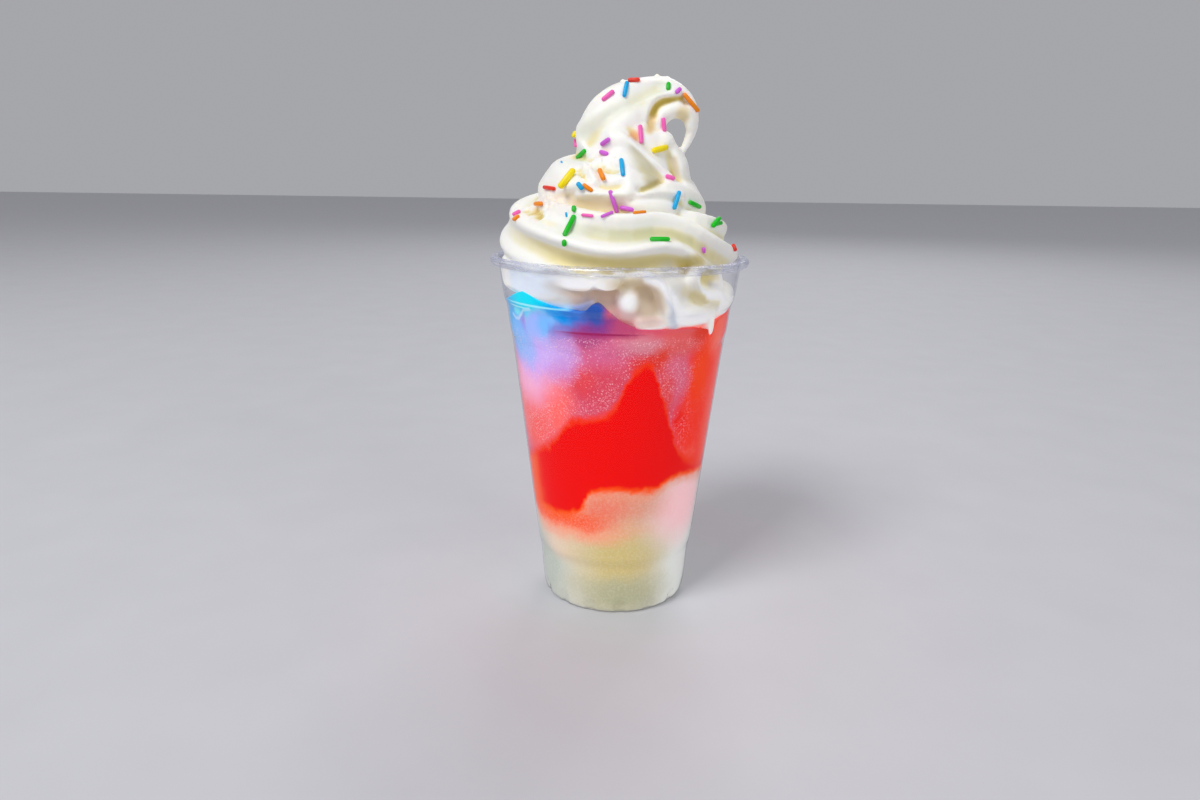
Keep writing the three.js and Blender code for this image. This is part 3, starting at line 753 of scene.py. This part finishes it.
def through(rows, mark):
    """A smooth run through rows of numbers. A mark counts rows, so 2.5 is between two."""
    rows = np.array(rows, float)
    before = 2 * rows[0] - rows[1]
    after = 2 * rows[-1] - rows[-2]
    padded = np.vstack([before, rows, after])
    index = min(int(mark), len(rows) - 2)
    t = mark - index
    p0, p1, p2, p3 = padded[index:index + 4]
    slope0, slope1 = (p2 - p0) / 2, (p3 - p1) / 2
    square, cube = t * t, t * t * t
    return (
        (2 * cube - 3 * square + 1) * p1 + (cube - 2 * square + t) * slope0
        + (3 * square - 2 * cube) * p2 + (cube - square) * slope1
    )


def stations_along(rows, marks):
    """Points, directions and radii along a run of [x, y, z, radius] rows."""
    stations = []
    for mark in marks:
        here = through(rows, mark)
        ahead = through(rows, min(mark + 0.01, len(rows) - 1))
        behind = through(rows, max(mark - 0.01, 0))
        stations.append({
            "point": Vector(here[:3]),
            "along": Vector(ahead[:3] - behind[:3]).normalized(),
            "size": float(here[3]),
            "roll": 0,
            "depth": 0,
        })
    return stations


def face_outward(stations, coil_steps):
    """Gives each station a direction square to the run: outwards on the coil, then steady."""
    outward = Vector()
    for i, station in enumerate(stations):
        if i <= coil_steps:
            outward = Vector((station["point"].x, station["point"].y, 0))
        outward = (outward - station["along"] * outward.dot(station["along"])).normalized()
        station["outward"] = outward.copy()
    return stations


def add_tube(mesh, stations, sides, share_at):
    """A sheet bent round the stations into a tube, closed along its seam and at both ends."""
    count = len(stations) - 1
    sheet = bmesh.ops.create_grid(mesh, x_segments=count, y_segments=sides, size=1)["verts"]
    for vertex in sheet:
        station = stations[round((vertex.co.x + 1) / 2 * count)]
        side = round((vertex.co.y + 1) / 2 * sides) % sides
        angle = 2 * math.pi * side / sides + station["roll"]
        up = station["along"].cross(station["outward"])
        reach = station["size"] * share_at(side, station["depth"])
        place = station["point"] + reach * (station["outward"] * math.cos(angle) + up * math.sin(angle))
        vertex.co = place * MM
    bmesh.ops.remove_doubles(mesh, verts=sheet, dist=MM / 1000)
    open_edges = [edge for edge in mesh.edges if edge.is_boundary]
    bmesh.ops.holes_fill(mesh, edges=open_edges, sides=0)
    bmesh.ops.recalc_face_normals(mesh, faces=mesh.faces)


def ridge_share(side, depth):
    """Round ridges that hang over the valley under them a little."""
    phase = side / SIDES_PER_RIDGE * 2 * math.pi
    across = math.cos(phase + RIDGE_LEAN * math.sin(phase))
    return 1 - depth * (0.5 - 0.5 * across) ** 1.4


def add_rope(mesh):
    steps = round((COIL[-1][0] - COIL[0][0]) * STATIONS_PER_TURN)
    rows = []
    turns = []
    for i in range(steps + 1):
        turn, radius, height, size = through(COIL, i / steps * (len(COIL) - 1))
        angle = -2 * math.pi * turn
        rows.append((radius * math.cos(angle), radius * math.sin(angle), height, size))
        turns.append(turn)
    hook_marks = [
        steps + i / STATIONS_PER_ROW for i in range(1, STATIONS_PER_ROW * len(HOOK) + 1)
    ]
    stations = stations_along(rows + list(HOOK), [*range(steps + 1), *hook_marks])
    for i, station in enumerate(stations):
        turn = turns[min(i, steps)]
        sway = WOBBLE_ANGLE * math.exp(-0.5 * ((turn - WOBBLE_TURN) / WOBBLE_WIDTH) ** 2)
        station["roll"] = math.radians(RIDGE_ANGLE + TWIST_PER_TURN * (turn - RIDGE_TURN) + sway)
        station["depth"] = float(np.interp(turn, *zip(*RIDGE_DEPTHS)))
    add_tube(mesh, face_outward(stations, steps), RIDGES * SIDES_PER_RIDGE, ridge_share)


def against_wall(rows):
    """Turns rows of a fold in the cup into [x, y, z, radius]."""
    placed = []
    for angle, height, inset, size in rows:
        reach = inside_radius(height) - inset
        turn = math.radians(angle)
        placed.append((reach * math.sin(turn), -reach * math.cos(turn), height, size))
    return placed


def end_ring(station, reach):
    """A smaller station past an end, by a share of its radius: backwards below nothing."""
    ring = dict(station)
    ring["point"] = station["point"] + station["along"] * (reach * station["size"])
    ring["size"] = station["size"] * math.sqrt(1 - reach * reach)
    return ring


def add_fold(mesh, rows):
    """A plain round tube with round ends."""
    marks = [i / STATIONS_PER_ROW for i in range(STATIONS_PER_ROW * (len(rows) - 1) + 1)]
    stations = face_outward(stations_along(rows, marks), 0)
    first, last = stations[0], stations[-1]
    for reach in ROUND_END:
        stations = [end_ring(first, -reach), *stations, end_ring(last, reach)]
    add_tube(mesh, stations, SIDES_OF_FOLD, lambda side, depth: 1)


def evaluated(mesh, modifiers):
    """A mesh with modifiers put on one after the other: [kind, settings]."""
    helper = bpy.data.objects.new("helper", mesh)
    bpy.context.scene.collection.objects.link(helper)
    for kind, settings in modifiers:
        modifier = helper.modifiers.new(kind.lower(), kind)
        for name, value in settings.items():
            setattr(modifier, name, value)
    graph = bpy.context.evaluated_depsgraph_get()
    result = bpy.data.meshes.new_from_object(helper.evaluated_get(graph))
    bpy.data.objects.remove(helper)
    return result


def coordinates(mesh):
    flat = np.empty(len(mesh.vertices) * 3)
    mesh.vertices.foreach_get("co", flat)
    return flat.reshape(-1, 3) / MM


def neighbour_mean(mesh):
    """A function that averages values over each vertex's neighbours."""
    ends = np.empty(len(mesh.edges) * 2, int)
    mesh.edges.foreach_get("vertices", ends)
    a, b = ends.reshape(-1, 2).T
    count = np.bincount(ends, minlength=len(mesh.vertices)).astype(float)[:, None]

    def mean(values):
        total = np.zeros_like(values)
        for axis in range(values.shape[1]):
            total[:, axis] += np.bincount(a, values[b, axis], len(values))
            total[:, axis] += np.bincount(b, values[a, axis], len(values))
        return total / count

    return mean


def distance_from(places, points):
    """How far each place is from a smooth line through the points."""
    marks = np.linspace(0, len(points) - 1, 5 * (len(points) - 1) + 1)
    line = np.array([through(points, mark) for mark in marks])
    nearest = np.full(len(places), np.inf)
    for start, end in zip(line, line[1:]):
        step = end - start
        share = np.clip((places - start) @ step / (step @ step), 0, 1)
        gap = places - start - share[:, None] * step
        nearest = np.minimum(nearest, np.sqrt((gap ** 2).sum(1)))
    return nearest


def sculpt(places, normals):
    """Works the strokes and the torn patches into the surface."""
    shaped = places.copy()
    for width, height, points in STROKES:
        low = np.min(points, axis=0) - 3 * width
        high = np.max(points, axis=0) + 3 * width
        near = ((places > low) & (places < high)).all(1)
        away = distance_from(places[near], points) / width
        shaped[near] += normals[near] * (height * np.exp(-away ** 2))[:, None]
    for radius, roughness, middle in TORN:
        away = np.sqrt(((places - middle) ** 2).sum(1)) / radius
        for i in np.flatnonzero(away < 2):
            rise = noise.noise(Vector(places[i]) * 0.7) + 0.6 * noise.noise(Vector(places[i]) * 1.3)
            shaped[i] += normals[i] * rise * roughness * math.exp(-away[i] ** 2)
    return shaped


def keep_in_cup(places):
    """Keeps the ice cream off the cup: it may touch the wall, and rests on the slush."""
    radius = np.hypot(places[:, 0], places[:, 1])
    wall = inside_radius(places[:, 2]) + PRESSED_IN
    # Nothing holds it above the rim.
    wall = wall + np.clip((places[:, 2] - CUP_HEIGHT + 0.5) / 1.5, 0, 1) * 10
    share = np.minimum(1, wall / np.maximum(radius, 1e-6))
    places[:, 0] *= share
    places[:, 1] *= share
    low = places[:, 2] < LOW_IN_CUP
    floor = np.array([top_of_slush(x, y) for x, y, _ in places[low]]) - SUNK_IN
    places[low, 2] = np.maximum(places[low, 2], floor)


# Low in the cup the cream is painted: tan and grey painted shade in recesses and under the
# lobes and the arch, olive painted shade in the valley over the rim, white painted highlights
# on the lobes, the pearl and the shelf, and a cooler tone at the left. Some of the tan is
# melting ice cream, thin on the wall, that takes a tan colour from the slush. Spots as in the
# slush.
MELT_AND_PAINTED_LIGHT_IN_CREAM = (
    (-4, 125, 9, 5, 1, (204, 170, 146), 0.85),
    (-31, 127, 14, 4, 1.6, (206, 199, 188), 0.85),
    (-17, 125, 6, 4, 1.4, (196, 164, 146), 0.8),
    (-52, 129, 26, 6, 1.2, (222, 234, 250), 0.8),
    (-25, 129, 9, 1.8, 1.4, (196, 186, 178), 0.6),
    (-12, 127, 13, 1.2, 1.4, (206, 178, 150), 0.7),
    (-19, 130.4, 8, 1.7, 1.2, (255, 255, 255), 0.9),
    (-5, 129.8, 5, 1.3, 1.2, (255, 255, 255), 0.9),
    (6, 130, 10, 3, 1.2, (196, 172, 122), 0.8),
    (14, 124, 7, 8, 1, (200, 178, 150), 0.9),
    (3, 119, 7, 3, 1.2, (214, 162, 150), 0.8),
    (15.5, 117.4, 7, 2, 1, (230, 200, 192), 0.7),
    (15.5, 114.8, 8, 0.8, 1.2, (255, 240, 240), 0.8),
    (4.4, 124.4, 4.6, 3.6, 1.4, (255, 254, 250), 1),
    (36, 137.8, 6, 2.4, 1.4, (214, 194, 104), 0.8),
    (6, 138, 34, 2, 1.4, (206, 192, 130), 0.6),
)
# Painted shade and highlights: where a fold or a valley turns away from the light it is
# painted grey, tan or olive, and a crest or a lit face is painted white: bands as in the slush.
SHADES_IN_CREAM = (
    (7.4, (214, 211, 202), 0.85, (24, 132.5), (31, 128), (37, 128.5)),
    (5.6, (255, 255, 255), 0.7, (33, 119), (45, 118)),
    (3.4, (220, 210, 174), 0.75, (31.5, 127.8), (34.4, 126.8), (39.7, 125), (47, 123), (54, 121.8)),
    (3, (204, 186, 116), 0.6, (35.8, 126.2), (39.7, 124.9), (44, 123.6)),
    (5, (224, 214, 184), 0.75, (46, 134), (54, 132), (61, 131)),
    (4, (204, 188, 116), 0.75, (45, 133.4), (48, 131), (51.5, 129.5)),
    (2.4, (196, 192, 196), 0.6, (52, 128.6), (64, 126.4)),
    (4.4, (202, 208, 220), 0.85, (24, 125.5), (26, 120), (27, 115.6)),
    (3.2, (255, 255, 255), 1, (12, 133), (18, 131.2), (23, 127.4), (27.2, 123), (30, 118.5)),
    (2.4, (255, 255, 255), 1, (37, 133.6), (38.8, 131), (41, 128.2), (47, 126)),
    (3.2, (255, 255, 255), 0.95, (45, 126.2), (60, 125.4)),
    (1.7, (242, 232, 232), 0.8, (-31, 122.6), (-20, 121.9), (-13.5, 123.4)),
    (3.6, (212, 214, 190), 0.7, (-24, 148.8), (-15, 147.6), (-8, 146.7), (5, 146.2), (16, 147)),
    (3, (206, 204, 160), 0.5, (-4, 146.2), (5, 146.2), (16, 147), (28, 146.5), (38, 144), (46, 140.4)),
    (2.6, (204, 200, 150), 0.5, (8, 146.4), (16, 147), (28, 146.5), (38, 144)),
)
# Higher up, painted shade and light on the thicker cream: tan in its creases and under its
# folds, white on a fold's crest, and paler patches at the left: more spots and bands, by how
# far to the right and how high, in millimetres.
PAINTED_SPOTS_ABOVE = (
    (4.4, 179, 2, 1.8, 1.2, (232, 180, 120), 0.9),
    (21.6, 186.8, 2.4, 2.8, 1.2, (234, 214, 160), 0.8),
    (11, 164.6, 3, 2, 1.2, (204, 190, 140), 0.7),
    (-5.5, 156, 8, 2.4, 1.4, (240, 224, 200), 0.8),
    (-23, 156.6, 8, 3.4, 1.2, (250, 240, 232), 0.85),
)
SHADES_ABOVE = (
    (4.4, (222, 224, 206), 0.6, (-14.2, 180.5), (-4.3, 186.4), (6.2, 192.1), (13, 195.4)),
    (2.6, (226, 196, 138), 0.9, (9.8, 181.4), (11, 186)),
    (
        1.5, (210, 186, 80), 0.95,
        (10.9, 187.2), (12.3, 189.6), (14.6, 191.2), (17.5, 191.9), (21, 192.4),
    ),
    (4.8, (206, 200, 170), 0.85, (5.6, 175), (8.4, 170), (11.4, 164.8)),
    (1.6, (196, 180, 112), 0.85, (7.6, 161.2), (12.6, 163.6)),
    (2.2, (222, 206, 176), 0.8, (18.8, 171.4), (20.2, 165.6)),
    (1.7, (255, 255, 252), 0.9, (3, 177.6), (8.2, 173.4), (16.6, 165.5)),
)


def ivory_cream():
    material, place = new_material("ivory_cream")
    hollow = place.node("Attribute", {"attribute_name": "hollow"}, None, 2)
    cloud = place.noise(11, 2) - 0.5
    height = place.part(2) * 1000
    in_cup = height.step(134, 131) * place.part(1).step(0, -10 * MM)
    # Painted shade: the hollow attribute paints the cream warm yellow in its valleys and where it faces
    # down, deep yellow where it is deepest, and less inside the cup; the cloud varies it at random.
    hollow = hollow * (1 - 0.6 * in_cup) + cloud * 0.2
    colour = hollow.step(0.05, 1.0).over(paint(253, 251, 243), paint(240, 228, 176))
    colour = hollow.step(0.8, 1.6).over(colour, paint(214, 192, 116))
    # Low down on the front the tones, painted shade and highlights with some melt, go by angle,
    # and over the whole front by millimetres.
    round_cup = angle_of(shaken(place, 5, 1.5)).beside(height)
    low = place.part(1).step(-18 * MM, -24 * MM) * height.step(152, 149)
    toned = shaded(round_cup, stain_and_shade_spots(round_cup, colour, MELT_AND_PAINTED_LIGHT_IN_CREAM), SHADES_IN_CREAM)
    colour = low.over(colour, toned)
    across = (place.part(0) * 1000).beside(height)
    front = place.part(1).step(-2 * MM, -6 * MM)
    toned = shaded(across, stain_and_shade_spots(across, colour, PAINTED_SPOTS_ABOVE), SHADES_ABOVE)
    colour = front.over(colour, toned)
    fine = place.noise(0.7, 2, 0.6)
    soft = place.noise(4, 2)
    bump = (fine * 0.3 + soft).bump(0.25, 0.25)
    body = place.node("BsdfPrincipled", None, {
        "Base Color": colour,
        "Roughness": 0.36 + 0.2 * soft,
        "Normal": bump,
        "Subsurface Weight": 0.35,
        "Subsurface Radius": (1.0, 0.8, 0.45),
        "Subsurface Scale": 1.2 * MM,
        "Specular IOR Level": 0.35,
        # Inside the cup the cream glows faintly in its own colour though it is no lamp: painted light
        # that lifts it where the swirl and the rim keep the lamps off.
        "Emission Color": in_cup.over((0, 0, 0, 1), colour),
        "Emission Strength": 0.19,
    })
    return coated(material, body)


def swirl():
    mesh = spun(CORE, 48)
    add_rope(mesh)
    for rows in (*FOLDS_ABOVE, *map(against_wall, FOLDS_IN_CUP)):
        add_fold(mesh, rows)
    raw = bpy.data.meshes.new("raw")
    mesh.to_mesh(raw)
    mesh.free()
    data = evaluated(raw, [
        ("REMESH", {"mode": "VOXEL", "voxel_size": GRAIN * MM}),
        ("CORRECTIVE_SMOOTH", {"iterations": 4, "use_only_smooth": True}),
    ])
    mean = neighbour_mean(data)
    normals = np.empty(len(data.vertices) * 3)
    data.vertices.foreach_get("normal", normals)
    normals = normals.reshape(-1, 3)
    for _ in range(3):
        normals = mean(normals)
    # The peak was pulled up smooth.
    places = coordinates(data)
    pulled = np.clip((places[:, 2] - 172) / 8, 0, 1) * np.clip((12 - places[:, 0]) / 5, 0, 1)
    for _ in range(ROUNDS_ON_PEAK):
        places += pulled[:, None] * (mean(places) - places)
    places = sculpt(places, normals)
    places += 0.5 * (mean(places) - places)
    keep_in_cup(places)
    data.vertices.foreach_set("co", (places * MM).ravel())
    data.update()
    # How far each place lies below its smoothed surroundings in millimetres, and somewhat more
    # where it faces down: the cream's colour paints shade from it.
    smooth = places.copy()
    for _ in range(ROUNDS_FOR_HOLLOWS):
        smooth = mean(smooth)
    depth = ((smooth - places) * normals).sum(1) + 0.45 * np.clip(-normals[:, 2], 0, 1)
    hollow = data.attributes.new("hollow", "FLOAT", "POINT")
    hollow.data.foreach_set("value", np.clip(depth, 0, 1.5).astype(np.float32))
    return finished(data, "soft_ice_cream", ivory_cream(), "ice_cream", "soft_serve")


ice_cream = swirl()


# The sugar sprinkles
# Short rods of coloured sugar with round ends, strewn on the ice cream while it was soft, so that
# they lie half sunk in it. Those of one colour are one piece.

SPRINKLE_RADIUS = 0.8
SPRINKLE_SINK = 0.3
# One end of a sprinkle follows the surface up or down by this much at most.
MOST_RISE = 2
# The rays that find the surface start this far out from the middle line, or this far above it.
FAR_OUT = 80
JUST_ABOVE = 5
SPRINKLE_COLOURS = {
    "blue": (0, 172, 230),
    "green": (0, 190, 20),
    "pink": (248, 104, 188),
    "purple": (214, 100, 218),
    "orange": (248, 142, 0),
    "yellow": (252, 226, 0),
    "red": (232, 58, 36),
}
# Those on the front: [angle round the swirl from the right-hand side, height, lean from level,
# length, thickness as a share of the usual].
SPRINKLES = {
    "blue": (
        (-140, 195, 79, 6, 1), (-89, 168, -61, 7.5, 1), (-116, 162, -49, 3.2, 1.1),
        (-50.5, 157, 62, 7, 1), (-158, 170, -42, 2.2, 0.5), (-119, 152.6, -69, 1.8, 0.5),
    ),
    "green": (
        (-64.5, 196, -89, 3.2, 1), (-150, 173, 18, 8, 1), (-30, 156, -14, 8.5, 1),
        (-25.5, 150, 31, 6, 1.1), (-23, 149.5, 4, 5, 1), (-114.5, 154.4, -71, 2.4, 1),
        (-114.5, 148.6, 85, 8.8, 1.1), (-114, 143.8, 88, 2.4, 1), (-72, 145, 8, 6.8, 1),
    ),
    "pink": (
        (-150, 192.6, 49, 5.5, 1), (-57, 183.3, -83, 5, 1), (-86.5, 179.5, -86, 7.4, 1),
        (-172, 177, -60, 3.4, 0.8), (-48, 165, -22, 3.6, 1), (-106.5, 152.6, -3, 4.4, 0.7),
        (-153, 152, 69, 3.4, 0.9),
    ),
    "purple": (
        (-51.5, 194.7, 34, 3.2, 1), (-118, 177, 24, 4.8, 1), (-113.5, 173, -18, 4.2, 1),
        (-94.5, 157.3, -71, 8.2, 1), (-85.5, 154.8, -10, 5, 1), (-96.5, 153, 26, 4.6, 0.7),
        (-44, 141, -75, 2.2, 0.8),
    ),
    "orange": (
        (-28.5, 191, -43, 8.8, 1), (-104.5, 165.7, -66, 6, 1.1), (-111.5, 161.4, -33, 4.2, 0.9),
        (-80, 153.6, 20, 5, 0.7), (-149, 155.4, 10, 6.5, 1), (-148, 150.6, 50, 3, 0.9),
    ),
    "yellow": ((-55.5, 174.6, 12, 7.4, 1.3), (-172, 180, -20, 4.4, 1), (-128, 164, 76, 8.5, 1.5)),
    "red": ((-136, 198, 3, 4.4, 1), (-146.5, 161, -3, 7.5, 0.9), (-23, 141, -70, 3, 0.9)),
}
# Those out of sight: how many, the angles from the right-hand side and the heights that they lie
# between, and the share of these angles from one to the next, which spreads them evenly.
SPRINKLES_ON_BACK = 26
BACK_ANGLES = (22, 158)
BACK_HEIGHTS = (144, 196)
BACK_STEP = 0.618
# The swirl's middle line leans this far to the right, between these two heights.
TIP_LEAN = 12
LEAN_BETWEEN = (165, 195)


def drawing(seed):
    """A fixed run of draws between a low and a high value."""
    state = seed

    def draw(low, high):
        nonlocal state
        state = state * 16807 % 2147483647
        return low + (high - low) * state / 2147483647

    return draw


def sprinkles_at_back():
    """The sprinkles out of sight are spread evenly, with leans and lengths drawn."""
    draw = drawing(20)
    colours = list(SPRINKLES)
    spread = {colour: [] for colour in colours}
    right, left = BACK_ANGLES
    bottom, top = BACK_HEIGHTS
    for i in range(SPRINKLES_ON_BACK):
        angle = right + (left - right) * (i * BACK_STEP % 1)
        height = bottom + (top - bottom) * (i + 0.5) / SPRINKLES_ON_BACK
        spread[colours[i % len(colours)]].append((angle, height, draw(-90, 90), draw(4.5, 7.5), 1))
    return spread


def middle_of(height):
    """The middle line of the swirl leans over to the right as it rises to the tip."""
    return TIP_LEAN * smoothly(height, *LEAN_BETWEEN)


def add_sprinkle(mesh, surface, angle, height, lean, length, share):
    """A round rod laid down where the swirl is first met from outside, and sunk in a little."""
    outward = Vector((math.cos(math.radians(angle)), math.sin(math.radians(angle)), 0))
    outside = Vector((middle_of(height), 0, height)) + outward * FAR_OUT
    place, normal, _, _ = surface.ray_cast(outside * MM, -outward)
    level = Vector((0, 0, 1)).cross(normal).normalized()
    along = Matrix.Rotation(math.radians(lean), 3, normal) @ level
    radius = SPRINKLE_RADIUS * share
    stretch = (length / 2 - radius) * MM
    # The rod rests on what is under its two ends, or on what is higher under its middle.
    above = normal * JUST_ABOVE * MM
    rise = []
    for end in (-1, 1):
        spot = surface.ray_cast(place + along * stretch * end + above, -normal)[0]
        step = (spot - place).dot(normal) if spot else 0
        rise.append(max(-MOST_RISE * MM, min(MOST_RISE * MM, step)))
    along = (2 * stretch * along + (rise[1] - rise[0]) * normal).normalized()
    middle = place + normal * (max(0, sum(rise) / 2) + (radius - SPRINKLE_SINK) * MM)
    rod = bmesh.ops.create_uvsphere(mesh, u_segments=14, v_segments=10, radius=radius * MM)["verts"]
    # The halves of a ball are drawn apart, and its middle ring stays.
    for vertex in rod:
        if abs(vertex.co.z) > radius * MM * 0.1:
            vertex.co.z += math.copysign(stretch, vertex.co.z)
    bmesh.ops.rotate(mesh, verts=rod, matrix=along.to_track_quat("Z", "Y").to_matrix())
    bmesh.ops.translate(mesh, verts=rod, vec=middle)


def coloured_sugar(colour, shade):
    material, place = new_material(colour + "_sugar")
    cloud = place.noise(1.8, 2)
    grain = place.noise(0.25, 2)
    pale = tuple(0.88 * part + 0.12 for part in shade[:3]) + (1,)
    bump = grain.bump(0.2, 0.06)
    sugar = place.node("BsdfPrincipled", None, {
        "Base Color": (cloud.step(0.45, 0.75) * 0.4).over(shade, pale),
        "Roughness": 0.3 + 0.2 * grain,
        "Normal": bump,
        "Specular IOR Level": 0.3,
        "Subsurface Weight": 0.2,
        "Subsurface Radius": (1, 1, 1),
        "Subsurface Scale": 0.4 * MM,
    })
    return coated(material, sugar)


def strew_sprinkles():
    skin = bmesh.new()
    skin.from_mesh(ice_cream.data)
    surface = BVHTree.FromBMesh(skin)
    skin.free()
    at_back = sprinkles_at_back()
    for colour, rows in SPRINKLES.items():
        mesh = bmesh.new()
        for row in (*rows, *at_back[colour]):
            add_sprinkle(mesh, surface, *row)
        sugar = coloured_sugar(colour, paint(*SPRINKLE_COLOURS[colour]))
        finished(mesh, colour + "_sprinkles", sugar, "sugar_sprinkles", "soft_serve")


strew_sprinkles()


# The floor, the light and the camera
# A pale studio floor, large soft lamps, and the camera where the photograph was taken from.

floor_mesh = bmesh.new()
bmesh.ops.create_grid(floor_mesh, x_segments=4, y_segments=4, size=6)
floor_data = bpy.data.meshes.new("floor")
floor_mesh.to_mesh(floor_data)
floor_mesh.free()
floor = bpy.data.objects.new("floor", floor_data)
bpy.context.scene.collection.objects.link(floor)


def pale_floor():
    material, place = new_material("pale_floor")
    tone = place.noise(40, 3).over(paint(198, 198, 203), paint(206, 206, 211))
    matt = place.node("BsdfPrincipled", None, {"Base Color": tone, "Roughness": 0.6})
    return coated(material, matt)


floor_data.materials.append(pale_floor())

world = bpy.data.worlds.new("studio")
world.use_nodes = True
world.node_tree.nodes["Background"].inputs["Color"].default_value = paint(226, 227, 232)
world.node_tree.nodes["Background"].inputs["Strength"].default_value = 0.5
bpy.context.scene.world = world


def lamp(name, place, size, power):
    """A square soft lamp that looks at the middle of the drink."""
    data = bpy.data.lights.new(name, "AREA")
    data.energy = power
    data.size = size
    thing = bpy.data.objects.new(name, data)
    thing.location = place
    aim = Vector((0, 0, 0.12)) - Vector(place)
    thing.rotation_euler = aim.to_track_quat("-Z", "Y").to_euler()
    bpy.context.scene.collection.objects.link(thing)


lamp("key", (-0.9, -1.1, 1.7), 0.8, 27)
lamp("fill", (1.3, -1.3, 0.6), 0.9, 6)
lamp("back", (0.4, 1.5, 1.3), 0.9, 7)

# The camera's place in millimetres and its angles in degrees, as the rim and the foot lie in the
# photograph. Its focal length is in pixels of a picture as wide as the frame.
CAMERA_AWAY = 321.5
CAMERA_HEIGHT = 165.2
CAMERA_DOWN = 15.025
CAMERA_RIGHT = -1.2
CAMERA_ROLL = 0.75
FOCAL = 832.06
FRAME_WIDTH = 1200
SENSOR = 36

camera_data = bpy.data.cameras.new("camera")
camera_data.sensor_width = SENSOR
camera_data.lens = FOCAL / FRAME_WIDTH * SENSOR
camera_data.clip_start = 0.01
camera = bpy.data.objects.new("camera", camera_data)
camera.location = (0, -CAMERA_AWAY * MM, CAMERA_HEIGHT * MM)
turned = Matrix.Rotation(math.radians(-CAMERA_RIGHT), 3, "Z")
turned = turned @ Matrix.Rotation(math.radians(90 - CAMERA_DOWN), 3, "X")
turned = turned @ Matrix.Rotation(math.radians(CAMERA_ROLL), 3, "Z")
camera.rotation_euler = turned.to_euler()
bpy.context.scene.collection.objects.link(camera)
bpy.context.scene.camera = camera
bpy.context.scene.view_settings.view_transform = "Standard"
